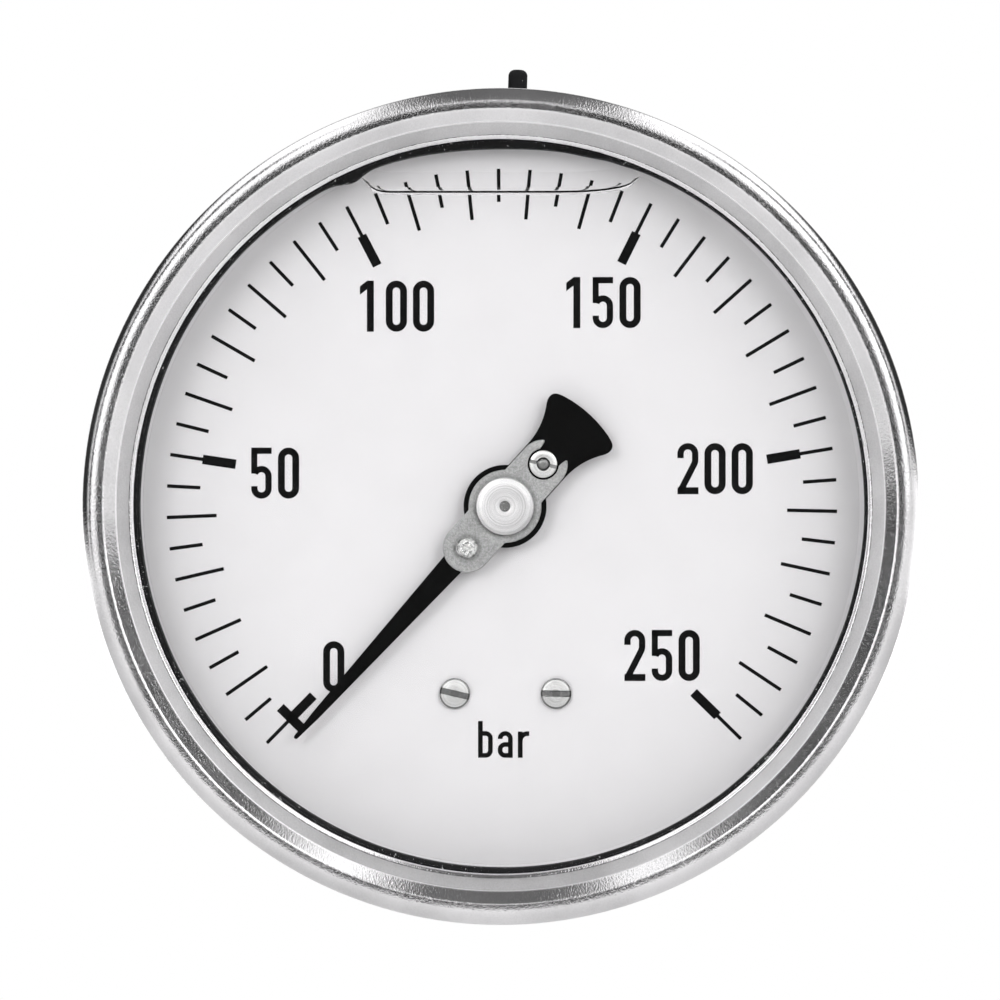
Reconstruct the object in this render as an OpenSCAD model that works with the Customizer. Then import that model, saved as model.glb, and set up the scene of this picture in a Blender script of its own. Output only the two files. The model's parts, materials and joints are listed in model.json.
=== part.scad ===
// Liquid-filled Bourdon-tube pressure gauge with a lower back connection, in millimetres.
// The origin is on the axis of the connection, where its thread starts. +Y runs out along the thread,
// the dial faces -Y and +Z is up. Depths are counted backwards from the front of the bezel.

/* [Bezel and window] */
// Outer diameter of the crimped bezel ring
bezel_d = 107; // [104:0.5:112]
// Width of the rounded bead round the bezel's front
bead_w = 4.35; // [3.6:0.05:4.8]
// Width of the bezel's lip over the window's edge
lip_w = 2.15; // [1.5:0.05:3]
// Thickness of the bezel's sheet
bezel_t = 0.8; // [0.6:0.1:1]
// Thickness of the window
window_t = 4; // [3:0.5:6]
// Thickness of the sealing ring behind the window
gasket_t = 3; // [2:0.25:5]
// How far the sealing ring shows inside the bezel's lip
gasket_show = 0.6; // [0.2:0.1:1.5]
// Room between the case's rim and the bezel
rim_room = 0.3; // [0.2:0.05:0.5]

/* [Case] */
// Depth from the front of the bezel to the back of the case
case_depth = 49.5; // [46:0.5:56]
// Thickness of the case wall
case_t = 0.8; // [0.6:0.1:1.2]
// Outer radius of the rounded edge at the case's back
case_round = 3; // [1.5:0.25:4]
// How far the case's front rim stands out from its wall
rim_w = 2.4; // [1.8:0.1:2.6]
// Room between the socket's flange and the case wall
flange_room = 1.2; // [0.8:0.1:3]

/* [Vent plug] */
// Diameter of the hole for the vent plug
vent_d = 11; // [9:0.5:13]
// Depth of the vent plug's axis behind the front of the bezel
vent_depth = 22; // [21:0.5:28]
// Turn of the vent plug from the top, clockwise from the front
vent_turn = 2; // [-6:0.5:6]
// Width of the vent plug's lips beyond its hole
vent_lip = 1.6; // [1:0.2:2]
// Height of the vent plug's nipple tip above the case wall
vent_tip = 7.2; // [6:0.2:9]
// Diameter of the vent plug's nipple
nipple_d = 2.5; // [2:0.1:4]
// Wall of the vent plug's neck
vent_wall = 2; // [1.2:0.1:3]
// Height of the vent plug's inner lip
vent_lip_h = 1.4; // [1:0.1:2]

/* [Dial] */
// Room between the dial's edge and the case wall
dial_room = 0.7; // [0.4:0.1:2]
// Thickness of the dial
dial_t = 0.8; // [0.5:0.1:1.2]
// Space between the window and the dial
dial_space = 6.5; // [6:0.25:9]
// Half the distance between the dial screws
dial_screw_x = 6.55; // [6:0.05:8]
// Distance of the dial screws below the dial's axis
dial_screw_drop = 24.2; // [23.5:0.1:26]
// Head diameter of a dial screw
dial_head_d = 3.95; // [3.4:0.05:4.6]
// Head height of a dial screw
dial_head_h = 0.9; // [0.6:0.1:1.2]
// Thread diameter of a dial screw
dial_thread_d = 2; // [1.6:0.1:2.4]
// Width across the flats of a dial standoff
standoff_w = 5; // [4:0.25:6]
// Depth of a standoff's threaded hole
standoff_hole_len = 7; // [5:0.5:9]
// Length of a standoff's stud in the socket
stud_len = 6; // [4:0.5:8]

/* [Pointer] */
// Length of the pointer from its axis to its tip
pointer_len = 40.4; // [36:0.2:42]
// Turn of the resting pointer from straight down, towards the left
pointer_rest = 42.2; // [38:0.2:46]
// Space between the dial and the pointer blade
pointer_rise = 2.6; // [2:0.1:2.8]
// Thickness of the pointer blade and of its plate
blade_t = 0.5; // [0.3:0.05:0.6]
// Width of the blade where it leaves the plate
blade_w = 3; // [2:0.1:3.4]
// Width of the blade's tip
tip_w = 0.55; // [0.4:0.05:0.9]
// Diameter of the blade's round middle
boss_d = 10.7; // [10:0.1:12]
// Reach of the tail from the pointer's axis
tail_r = 16.1; // [14:0.1:18]
// Width of the tail's end
tail_w = 10.8; // [9:0.1:12]
// Diameter of the plate's round middle
plate_d = 9.4; // [9:0.1:9.8]
// Width of the plate's arms
plate_w = 6.3; // [6:0.1:7]
// Distance of the rivet from the pointer's axis
rivet_u = 7.25; // [6.8:0.05:7.6]
// Diameter of the rivet's head
rivet_d = 2.8; // [2.2:0.1:3.4]
// Distance of the trim screw's head from the pointer's axis
trim_u = 7.35; // [7:0.05:7.8]
// Diameter of the trim screw's head
trim_d = 3.6; // [3.2:0.1:3.8]
// Offset of the trim screw's shank from the middle of its head
trim_throw = 0.25; // [0.1:0.05:0.3]
// Diameter of the hub's front disc
hub_d = 7.4; // [6.6:0.1:8.2]
// Thickness of the hub's front disc
hub_t = 1; // [0.6:0.1:1.2]
// Diameter of the hub's neck
hub_neck_d = 4; // [3:0.1:4.6]

/* [Movement] */
// How far the movement sits right of the case's axis
movement_x = 0.5; // [0:0.1:0.8]
// Space between the dial and the movement's front plate
movement_space = 2.7; // [2.2:0.1:3.2]
// Thickness of a movement plate
plate_t = 1.2; // [1:0.1:1.5]
// Distance between the movement plates
pillar_len = 7.8; // [7.6:0.1:9]
// Diameter of a pillar
pillar_d = 3.5; // [3:0.1:4]
// Diameter of the pinion's arbor
arbor_d = 2; // [1.8:0.1:2.4]
// Diameter of the pinion's pivots
pivot_d = 1.3; // [1:0.1:1.5]
// Diameter of the sector's arbor
sector_arbor_d = 2.5; // [2.2:0.1:3]
// Diameter of the sector's pivots
sector_pivot_d = 1.8; // [1.4:0.1:2]
// Module of the gear teeth
gear_module = 0.35; // [0.33:0.01:0.36]
// Teeth of the pinion
pinion_teeth = 12; // [12:1:12]
// Teeth of a whole gear of the sector's size
sector_teeth = 120; // [116:2:124]
// Play between the gear teeth
backlash = 0.08; // [0.06:0.01:0.12]
// Thickness of the sector gear
sector_t = 1.2; // [1:0.1:1.4]
// Length of the sector's tail
sector_tail = 9; // [8:0.1:10]
// Length of the link between its holes
link_len = 10; // [9:0.1:11]
// Thickness of the link
link_t = 1; // [0.8:0.1:1.2]
// Diameter of the link pins
link_pin_d = 2; // [1.6:0.1:2.4]
// Turns of the hairspring
hair_turns = 4.5; // [3.5:0.5:4.5]
// Thickness of the hairspring's strip
hair_t = 0.2; // [0.12:0.02:0.3]
// Width of the hairspring's strip
hair_w = 0.6; // [0.4:0.1:0.8]
// Distance between the hairspring's turns
hair_pitch = 1.25; // [1:0.05:1.4]
// Diameter of the hairspring's collet
collet_d = 3.4; // [3:0.1:4]
// Diameter of the hairspring's stud
stud_d = 1.6; // [1.2:0.1:2]

/* [Bourdon tube and socket] */
// Radius of the tube's bend, to its middle
tube_r = 34; // [33.5:0.25:36]
// Thickness of the flattened tube, across its bend
tube_h = 4; // [3:0.25:4.5]
// Width of the flattened tube
tube_w = 12; // [10:0.5:14]
// Wall of the tube
tube_wall = 0.8; // [0.5:0.1:1]
// Largest diameter of the connection's thread
thread_d = 20.955; // [16.66:0.005:22]
// Length of the connection's thread
thread_len = 17; // [14:0.5:20]
// Width across the wrench flats
wrench_w = 22; // [22:0.5:24]
// Length of the wrench flats
wrench_len = 10; // [8:0.5:14]
// Diameter of the pilot at the connection's end
pilot_d = 6; // [5:0.5:8]
// Length of the pilot
pilot_len = 3; // [2:0.5:4]
// Diameter of the pressure inlet
inlet_d = 3.5; // [3:0.1:4]
// Diameter of the socket's flange inside the case
flange_d = 36; // [34:0.5:38]
// Thickness of the socket's flange
flange_t = 4; // [3:0.25:5]
// Thickness of the seal between the flange and the case
seal_t = 0.5; // [0.3:0.1:1]
// Metal of the socket's block beyond the tube's root
block_wall = 2; // [1.5:0.25:4]
// How far the tube's root reaches into the socket
tube_seat = 9; // [6:0.5:11]
// Length of the relief between the wrench flats and the thread
relief_len = 2.5; // [2:0.25:4]
// Length of the restrictor in the inlet
restrictor_len = 5; // [3:0.5:8]
// Thread diameter of a case screw
case_screw_d = 3; // [2.5:0.1:3.2]

/* [Hidden] */
$fn = 96;
// Radial room of a turning pin in its hole
run_fit = 0.05;
// Radial room of a screw or a seated piece in its hole
seat_fit = 0.05;
// Room between flat faces that pass each other
pass_gap = 0.1;
// Extra length of a cutting shape past the face that it cuts
cut = 1;
// How far one step of a turned piece runs into the next
join = 0.2;
// Smallest angle step of a wound outline
wind_step = 15;

// Depths of the bezel, window and case rim
bead_r = bead_w / 2;
window_d0 = bead_r + bezel_t;
window_d1 = window_d0 + window_t;
rim_d0 = window_d1 + gasket_t;
rim_d1 = rim_d0 + case_t;
lip_d1 = rim_d1 + bezel_t;
bezel_in_r = bezel_d / 2 - bezel_t;
bezel_bore_r = bezel_d / 2 - bead_w - lip_w;
gasket_in_r = bezel_bore_r - gasket_show;
rim_r = bezel_in_r - rim_room;
window_r = rim_r - 0.4;
gasket_r = rim_r - 0.2;
case_r = rim_r - rim_w;
case_in_r = case_r - case_t;
crimp_r = case_r + 0.6;
back_in = case_depth - case_t;
stem_drop = case_in_r - flange_room - flange_d / 2;

// Depths of the dial and the pointer
dial_r = case_in_r - dial_room;
dial_d0 = window_d1 + dial_space;
dial_d1 = dial_d0 + dial_t;
blade_d1 = dial_d0 - pointer_rise;
blade_d0 = blade_d1 - blade_t;
plate_d1 = blade_d0 - pass_gap / 2;
plate_d0 = plate_d1 - blade_t;
hub_d0 = plate_d0 - hub_t;
hub_d1 = dial_d0 - 0.6;
liquid_d1 = hub_d0 - 0.3;
liquid_level = gasket_in_r - 5.9;

// Depths of the movement
front_d0 = dial_d1 + movement_space;
front_d1 = front_d0 + plate_t;
rear_d0 = front_d1 + pillar_len;
rear_d1 = rear_d0 + plate_t;
sector_d0 = front_d1 + 1.8;
sector_d1 = sector_d0 + sector_t;
pinion_over = 0.6;
link_d0 = sector_d1 + 0.4;
link_d1 = link_d0 + link_t;
lug_d0 = link_d1 + 0.4;
lug_t = 1.5;
lug_d1 = lug_d0 + lug_t;
hair_d0 = sector_d1 + 2;

// Places in the movement, from the pointer's axis, x to the right and z up
pinion_r = gear_module * pinion_teeth / 2;
sector_r = gear_module * sector_teeth / 2;
centre_dist = pinion_r + sector_r;
pressure_angle = 25;
sector_bearing = -43;
sector_at = centre_dist * [cos(sector_bearing), sin(sector_bearing)];
sector_swing = 27.5;
pull_angle = 53;
tail_angle = pull_angle - 90 - sector_swing / 2;
tail_at = sector_at + sector_tail * [cos(tail_angle), sin(tail_angle)];
tip_at = tail_at + link_len * [cos(pull_angle), sin(pull_angle)];
arbor_r = arbor_d / 2;
pivot_r = pivot_d / 2;
sector_arbor_r = sector_arbor_d / 2;
sector_pivot_r = sector_pivot_d / 2;
collet_r = collet_d / 2;
hair_r0 = collet_r + run_fit + hair_t / 2;
hair_r1 = hair_r0 + hair_pitch * hair_turns;
hair_start = 20;
hair_end = hair_start + 360 * hair_turns;
stud_r = stud_d / 2;
stud_at = (hair_r1 + hair_t / 2 + stud_r + run_fit) * [cos(hair_end), sin(hair_end)];
standoffs_at = [[-dial_screw_x, -dial_screw_drop], [dial_screw_x, -dial_screw_drop]];
pillars_at = [
    polar(hair_r1 + hair_t + pillar_d / 2 + 1.5, 146),
    sector_at + [2.6, 12.8],
    [-2, -18.5]
];

// Places of the tube and the socket
tube_d0 = lug_d1 + 0.5;
tube_d1 = tube_d0 + tube_w;
tube_root = 243;
tube_tip = -14;
tube_end_sweep = 8;
slot_sweep = 40;
block_top = standoff_w - dial_screw_drop;
block_left = movement_x + tube_r * cos(tube_root) - tube_seat;
block_right = movement_x + dial_screw_x + standoff_w;
block_low = -tube_r - tube_h / 2 - block_wall;
flange_d1 = back_in - seal_t;
flange_d0 = flange_d1 - flange_t;
stem_r = wrench_w / 2;
stem_hole_r = stem_r + 0.3;
seal_in_r = stem_r + 0.5;
seal_out_r = seal_in_r + 2;
case_screw_pcr = flange_d / 2 - 2.2;
case_head_d = 2 * case_screw_d - 0.6;
case_head_h = 0.6 * case_screw_d;
case_screw_len = case_t + seal_t + flange_t;
wrench_d0 = case_depth + 1;
wrench_d1 = wrench_d0 + wrench_len;
relief_r = thread_d / 2 - 1.6;
thread_d0 = wrench_d1 + relief_len;
thread_end = thread_d0 + thread_len;
pilot_end = thread_end + pilot_len;
thread_chamfer = 1;
cross_bore_r = 1.2;
inlet_stop = tube_d0 + tube_w / 2;
restrictor_bore_r = 0.4;
restrictor_inset = 0.5;

// The vent plug, from the case's axis
vent_r = vent_d / 2;
vent_cap_r = vent_r + vent_lip;
vent_cap_h = bezel_d / 2 - case_r - 0.5;

function polar(r, a) = r * [cos(a), sin(a)];
// Half the angle that a gear tooth spans at radius r
function involute(a) = tan(a) - a * PI / 180;
function tooth_half(r, pitch_r) =
    let (base_r = pitch_r * cos(pressure_angle))
    let (at_pitch = (PI * gear_module / 4 - backlash / 4) / pitch_r)
    let (roll = acos(min(1, base_r / max(r, base_r))))
    (at_pitch + involute(pressure_angle) - involute(roll)) * 180 / PI;

// Moves what is drawn along +Z to a place on the dial, running backwards from depth d
module place(at, d) {
    translate([at[0], d - thread_d0, stem_drop + at[1]])
        rotate([-90, 0, 0])
            children();
}

// Extrudes a front view, x to the right and z up, between two depths
module slab(d0, d1) {
    translate([0, d1 - thread_d0, stem_drop])
        rotate([90, 0, 0])
            linear_extrude(d1 - d0)
                children();
}

// Turns a profile of radius and depth about the dial's axis
module lathe() {
    place([0, 0], 0)
        rotate_extrude()
            children();
}

// Moves a piece with the movement
module works() {
    translate([movement_x, 0, 0])
        children();
}

// A plain round pin or hole from depth d0 to d1
module rod(at, d0, d1, r) {
    place(at, d0)
        cylinder(r = r, h = d1 - d0);
}

// A slotted round-headed screw whose head stands in front of depth d
module slotted_screw(at, d, head_d, head_h, shank_d, shank_len, slot_turn) {
    slot_w = head_d / 5;
    slot_h = head_h / 2;
    place(at, d)
        difference() {
            union() {
                translate([0, 0, -head_h])
                    cylinder(d = head_d, h = head_h);
                translate([0, 0, -head_h / 4])
                    cylinder(d = shank_d, h = shank_len + head_h / 4);
            }
            rotate(slot_turn)
                translate([-head_d, -slot_w / 2, -head_h - cut])
                    cube([2 * head_d, slot_w, slot_h + cut]);
        }
}

// A ring of radius and depth as a rectangle of its profile
module ring_part(r0, r1, d0, d1) {
    translate([r0, d0])
        square([r1 - r0, d1 - d0]);
}

module case_shell() {
    round_r = case_r - case_round;
    round_d = case_depth - case_round;
    color("silver")
        difference() {
            lathe() {
                ring_part(case_in_r, case_r, rim_d0, round_d);
                ring_part(case_in_r, rim_r, rim_d0, rim_d1);
                ring_part(0, round_r, back_in, case_depth);
                intersection() {
                    translate([round_r, round_d])
                        difference() {
                            circle(r = case_round);
                            circle(r = case_round - case_t);
                        }
                    ring_part(round_r, case_r, round_d, case_depth);
                }
            }
            rod([0, -stem_drop], back_in - cut, case_depth + cut, stem_hole_r);
            for (at = case_screws_at())
                rod(at, back_in - cut, case_depth + cut, case_screw_d / 2 + seat_fit);
            vent_axis(case_in_r - 2 * cut)
                cylinder(r = vent_r, h = case_t + 4 * cut);
        }
}

function case_screws_at() =
    [for (a = [90, 210, 330]) [0, -stem_drop] + polar(case_screw_pcr, a)];

module bezel_ring() {
    mid_r = bezel_d / 2 - bead_r;
    color("gainsboro")
        lathe() {
            difference() {
                translate([mid_r, bead_r])
                    circle(r = bead_r);
                translate([mid_r, bead_r])
                    circle(r = bead_r - bezel_t);
                ring_part(mid_r - bead_w, mid_r + bead_w, bead_r, bead_r + bead_w);
            }
            ring_part(bezel_bore_r, mid_r - bead_r + bezel_t, bead_r, window_d0);
            ring_part(bezel_in_r, bezel_d / 2, bead_r, lip_d1);
            ring_part(crimp_r, bezel_d / 2, rim_d1, lip_d1);
        }
}

module window_glass() {
    color("lightcyan")
        lathe()
            ring_part(0, window_r, window_d0, window_d1);
}

module window_gasket() {
    color("black")
        lathe()
            ring_part(gasket_in_r, gasket_r, window_d1, rim_d0);
}

module filling_liquid() {
    liquid_r = gasket_in_r - pass_gap;
    color("azure")
        slab(window_d1, liquid_d1)
            intersection() {
                circle(r = liquid_r);
                translate([-liquid_r, -liquid_r])
                    square([2 * liquid_r, liquid_r + liquid_level]);
            }
}

// Moves what is drawn along +Z to the vent plug's axis, from a distance r off the case's axis
module vent_axis(r) {
    translate([0, vent_depth - thread_d0, stem_drop])
        rotate([0, vent_turn, 0])
            translate([0, 0, r])
                children();
}

module vent_plug() {
    neck_r = vent_r - seat_fit;
    lip_r = vent_cap_r;
    tip_h = vent_tip - vent_cap_h + join;
    tip_round = nipple_d / 3;
    color("black")
        union() {
            difference() {
                vent_axis(case_in_r - vent_lip_h)
                    cylinder(r = neck_r, h = case_t + vent_lip_h + vent_cap_h);
                vent_axis(case_in_r - vent_lip_h - cut)
                    cylinder(r = neck_r - vent_wall, h = vent_lip_h + case_t + cut);
            }
            difference() {
                vent_axis(case_r - 1)
                    cylinder(r = lip_r, h = 1 + vent_cap_h);
                rod([0, 0], vent_depth - lip_r - cut, vent_depth + lip_r + cut, case_r + seat_fit);
            }
            intersection() {
                difference() {
                    vent_axis(case_in_r - vent_lip_h)
                        cylinder(r = lip_r - 0.4, h = vent_lip_h);
                    vent_axis(case_in_r - vent_lip_h - cut)
                        cylinder(r = neck_r - vent_wall, h = vent_lip_h + 2 * cut);
                }
                rod([0, 0], vent_depth - lip_r, vent_depth + lip_r, case_in_r - seat_fit);
            }
            vent_axis(case_r + vent_cap_h - join)
                rotate_extrude() {
                    square([nipple_d / 2, tip_h - tip_round]);
                    square([nipple_d / 2 - tip_round, tip_h]);
                    translate([nipple_d / 2 - tip_round, tip_h - tip_round])
                        intersection() {
                            circle(r = tip_round);
                            square(2 * tip_round);
                        }
                }
        }
}

module dial_plate() {
    color("white")
        difference() {
            rod([0, 0], dial_d0, dial_d1, dial_r);
            works() {
                rod([0, 0], dial_d0 - cut, dial_d1 + cut, arbor_r + 1);
                for (at = standoffs_at)
                    rod(at, dial_d0 - cut, dial_d1 + cut, dial_thread_d / 2 + 0.2);
            }
        }
}

module dial_screws() {
    turns = [13, 1];
    color("darkgray")
        works()
            for (i = [0, 1])
                slotted_screw(standoffs_at[i], dial_d0, dial_head_d, dial_head_h, dial_thread_d,
                    dial_t + standoff_hole_len - 1, turns[i]);
}

module dial_standoffs() {
    color("darkkhaki")
        works()
            for (at = standoffs_at) {
                difference() {
                    place(at, dial_d1)
                        cylinder(d = standoff_w / cos(30), h = rear_d0 - dial_d1, $fn = 6);
                    rod(at, dial_d1 - cut, dial_d1 + standoff_hole_len, dial_thread_d / 2 + seat_fit);
                }
                rod(at, rear_d0 - join, rear_d1 + stud_len, dial_thread_d / 2);
            }
}

// The stretch of a ring between two angles about the pointer's axis, seen from the front
module tube_sweep(a0, a1) {
    works()
        place([0, 0], 0)
            rotate_extrude(angle = a1 - a0, start = -a1)
                children();
}

// The tube's outline, a flat bar with round edges, grown by g
module tube_outline(g) {
    half = tube_h / 2;
    translate([tube_r - half - g, tube_d0 + half])
        square([tube_h + 2 * g, tube_w - tube_h]);
    for (d = [tube_d0 + half, tube_d1 - half])
        translate([tube_r, d])
            circle(r = half + g);
}

module bourdon_tube() {
    color("goldenrod")
        tube_sweep(tube_tip, tube_root)
            difference() {
                tube_outline(0);
                tube_outline(-tube_wall);
            }
}

module pressure_socket() {
    root_at = polar(tube_r, tube_root) + [movement_x, 0];
    stem_at = [0, -stem_drop];
    color("lightsteelblue")
        difference() {
            union() {
                slab(rear_d1, flange_d0 + cut)
                    intersection() {
                        translate([block_left, block_low])
                            square([block_right - block_left, block_top - block_low]);
                        circle(r = case_in_r - flange_room);
                    }
                rod(stem_at, flange_d0, flange_d1, flange_d / 2);
                rod(stem_at, flange_d1 - cut, wrench_d0, stem_r);
                wrench_flats(stem_at);
                rod(stem_at, wrench_d1 - cut, thread_d0, relief_r);
                place(stem_at, thread_d0)
                    rotate_extrude()
                        polygon([
                            [0, -cut], [relief_r, -cut], [relief_r, 0], [thread_d / 2, 0],
                            [thread_d / 2, thread_len - thread_chamfer],
                            [thread_d / 2 - thread_chamfer, thread_len], [0, thread_len]
                        ]);
                rod(stem_at, thread_end - cut, pilot_end, pilot_d / 2);
            }
            tube_sweep(tube_root - slot_sweep, tube_root)
                tube_outline(seat_fit);
            rod(stem_at, inlet_stop, pilot_end + cut, inlet_d / 2);
            translate([root_at[0], inlet_stop + inlet_d / 2 - thread_d0, stem_drop + root_at[1]])
                rotate([0, 90, 0])
                    cylinder(r = cross_bore_r, h = -root_at[0]);
            works()
                for (at = standoffs_at)
                    rod(at, rear_d1 - cut, rear_d1 + stud_len + cut, dial_thread_d / 2 + seat_fit);
            for (at = case_screws_at())
                rod(at, flange_d0 - cut, flange_d1 + cut, case_screw_d / 2 + seat_fit);
        }
}

// The six wrench flats, their corners turned off at both ends
module wrench_flats(at) {
    corner_r = stem_r / cos(30);
    intersection() {
        place(at, wrench_d0)
            cylinder(r = corner_r, h = wrench_len, $fn = 6);
        place(at, wrench_d0)
            rotate_extrude()
                polygon([
                    [0, 0], [stem_r, 0], [corner_r, 0.7], [corner_r, wrench_len - 0.7],
                    [stem_r, wrench_len], [0, wrench_len]
                ]);
    }
}

module socket_seal() {
    color("black")
        place([0, -stem_drop], flange_d1)
            difference() {
                cylinder(r = seal_out_r, h = seal_t);
                translate([0, 0, -cut])
                    cylinder(r = seal_in_r, h = seal_t + 2 * cut);
            }
}

module case_screws() {
    turns = [20, 75, 130];
    color("silver")
        translate([0, 2 * (case_depth - thread_d0), 0])
            mirror([0, 1, 0])
                for (i = [0 : len(turns) - 1])
                    slotted_screw(case_screws_at()[i], case_depth, case_head_d, case_head_h,
                        case_screw_d, case_screw_len, turns[i]);
}

module restrictor_screw() {
    at = [0, -stem_drop];
    d1 = pilot_end - restrictor_inset;
    d0 = d1 - restrictor_len;
    slot_w = inlet_d / 5;
    color("darkgray")
        difference() {
            rod(at, d0, d1, inlet_d / 2 - seat_fit);
            rod(at, d0 - cut, d1 + cut, restrictor_bore_r);
            place(at, d1 - slot_w)
                translate([-inlet_d, -slot_w / 2, 0])
                    cube([2 * inlet_d, slot_w, slot_w + cut]);
        }
}

// The outline of a movement plate between its bearings and pillars
module plate_outline() {
    hull() {
        circle(r = 5);
        translate(sector_at)
            circle(r = 4.5);
        for (at = pillars_at)
            translate(at)
                circle(r = 3);
    }
}

module movement_front_plate() {
    color("gold")
        works()
            difference() {
                slab(front_d0, front_d1)
                    plate_outline();
                rod([0, 0], front_d0 - cut, front_d1 + cut, arbor_r + run_fit);
                rod(sector_at, front_d0 - cut, front_d1 + cut, sector_pivot_r + run_fit);
                for (at = pillars_at)
                    rod(at, front_d0 - cut, front_d1 + cut, pillar_d / 4 + seat_fit);
            }
}

module movement_back_plate() {
    foot_w = 2 * dial_screw_x + 2 * standoff_w;
    foot_low = -dial_screw_drop - standoff_w;
    color("gold")
        works()
            difference() {
                slab(rear_d0, rear_d1) {
                    plate_outline();
                    translate([-foot_w / 2, foot_low])
                        square([foot_w, pillars_at[2][1] - foot_low]);
                }
                rod([0, 0], rear_d0 - cut, rear_d1 + cut, pivot_r + run_fit);
                rod(sector_at, rear_d0 - cut, rear_d1 + cut, sector_pivot_r + run_fit);
                for (at = pillars_at)
                    rod(at, rear_d0 - cut, rear_d1 + cut, pillar_d / 4 + seat_fit);
                for (at = standoffs_at)
                    rod(at, rear_d0 - cut, rear_d1 + cut, dial_thread_d / 2 + seat_fit);
            }
}

module movement_pillars() {
    hole_len = pillar_len / 2;
    color("khaki")
        works()
            for (at = pillars_at) {
                difference() {
                    rod(at, front_d1, rear_d0, pillar_d / 2);
                    rod(at, front_d1 - cut, front_d1 + hole_len, pillar_d / 4 + seat_fit);
                }
                rod(at, rear_d0 - join, rear_d1, pillar_d / 4);
            }
}

module plate_screws() {
    head_d = pillar_d;
    head_h = 0.9;
    turns = [0, 35, 70];
    color("darkgray")
        works()
            for (i = [0 : len(turns) - 1])
                slotted_screw(pillars_at[i], front_d0, head_d, head_h, pillar_d / 2,
                    plate_t + pillar_len / 2 - 0.5, turns[i]);
}

function hair_point(a, side) =
    polar(hair_r0 + hair_pitch * (a - hair_start) / 360 + side * hair_t / 2, a);

module hairspring() {
    angles = [for (a = [hair_start : wind_step : hair_end]) a];
    color("steelblue")
        works()
            slab(hair_d0, hair_d0 + hair_w)
                polygon(concat(
                    [for (a = angles) hair_point(a, 1)],
                    [for (i = [len(angles) - 1 : -1 : 0]) hair_point(angles[i], -1)]
                ));
}

module hairspring_stud() {
    color("khaki")
        works()
            rod(stud_at, hair_d0 - 0.4, rear_d0, stud_r);
}

module hairspring_collet() {
    color("gold")
        works()
            difference() {
                rod([0, 0], hair_d0 - 0.4, hair_d0 + hair_w + 0.4, collet_r);
                rod([0, 0], hair_d0 - cut, hair_d0 + hair_w + cut, arbor_r);
            }
}

// One gear tooth whose middle points along angle a
module gear_tooth(pitch_r, root_r, tip_r, a) {
    steps = 5;
    base_r = pitch_r * cos(pressure_angle);
    foot_r = max(root_r + gear_module / 10, base_r);
    radii = concat([root_r - 0.2], [for (i = [0 : steps]) foot_r + (tip_r - foot_r) * i / steps]);
    polygon(concat(
        [for (r = radii) polar(r, a - tooth_half(r, pitch_r))],
        [for (i = [steps + 1 : -1 : 0]) polar(radii[i], a + tooth_half(radii[i], pitch_r))]
    ));
}

module pinion_arbor() {
    root_r = pinion_r - 1.25 * gear_module;
    pitch = 360 / pinion_teeth;
    color("lightgray")
        works() {
            rod([0, 0], hub_d0 + 0.25, front_d0 - 1.2 + join, pivot_r);
            rod([0, 0], front_d0 - 1.2, rear_d0 - 0.4, arbor_r);
            rod([0, 0], rear_d0 - 0.4 - join, rear_d1, pivot_r);
            slab(sector_d0 - pinion_over, sector_d1 + pinion_over) {
                circle(r = root_r);
                for (i = [0 : pinion_teeth - 1])
                    gear_tooth(pinion_r, root_r, pinion_r + gear_module,
                        sector_bearing + (i + 0.5) * pitch);
            }
        }
}

module sector_gear() {
    root_r = sector_r - 1.25 * gear_module;
    pitch = 360 / sector_teeth;
    // Teeth on either side of the one that meets the pinion at rest
    after = 2;
    before = ceil(sector_swing / pitch) + 2;
    mesh_angle = sector_bearing + 180;
    a0 = mesh_angle - (before + 0.5) * pitch;
    a1 = mesh_angle + (after + 0.5) * pitch;
    reach = 2 * sector_r;
    band = 3.5;
    spoke = 5;
    color("gold")
        works()
            difference() {
                slab(sector_d0, sector_d1) {
                    translate(sector_at) {
                        difference() {
                            intersection() {
                                circle(r = root_r);
                                polygon([[0, 0], polar(reach, a0), polar(reach, a1)]);
                            }
                            intersection() {
                                circle(r = root_r - band);
                                polygon([
                                    polar(8, (a0 + a1) / 2), polar(reach, a0 + spoke),
                                    polar(reach, a1 - spoke)
                                ]);
                            }
                        }
                        for (i = [-before : after])
                            gear_tooth(sector_r, root_r, sector_r + gear_module,
                                mesh_angle + i * pitch);
                        circle(r = 3.2);
                        rotate(tail_angle)
                            translate([0, -1.9])
                                square([sector_tail, 3.8]);
                    }
                    translate(tail_at)
                        circle(r = 2.2);
                }
                rod(sector_at, sector_d0 - cut, sector_d1 + cut, sector_arbor_r);
                rod(tail_at, sector_d0 - cut, sector_d1 + cut, link_pin_d / 2);
            }
}

module sector_arbor() {
    color("lightgray")
        works() {
            rod(sector_at, front_d0, front_d1 + 0.3 + join, sector_pivot_r);
            rod(sector_at, front_d1 + 0.3, rear_d0 - 0.3, sector_arbor_r);
            rod(sector_at, rear_d0 - 0.3 - join, rear_d1, sector_pivot_r);
        }
}

// A pin with a round head at each end that holds a plate between depths d0 and d1
module headed_pin(at, d0, d1, r, head_r, head_h) {
    rod(at, d0 - head_h, d0, head_r);
    rod(at, d0 - head_h / 2, d1 + head_h / 2, r);
    rod(at, d1, d1 + head_h, head_r);
}

module sector_link_pin() {
    pin_r = link_pin_d / 2;
    color("lightgray")
        works()
            headed_pin(tail_at, sector_d0, link_d1 + pass_gap, pin_r, pin_r + 0.6, 0.5);
}

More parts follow.
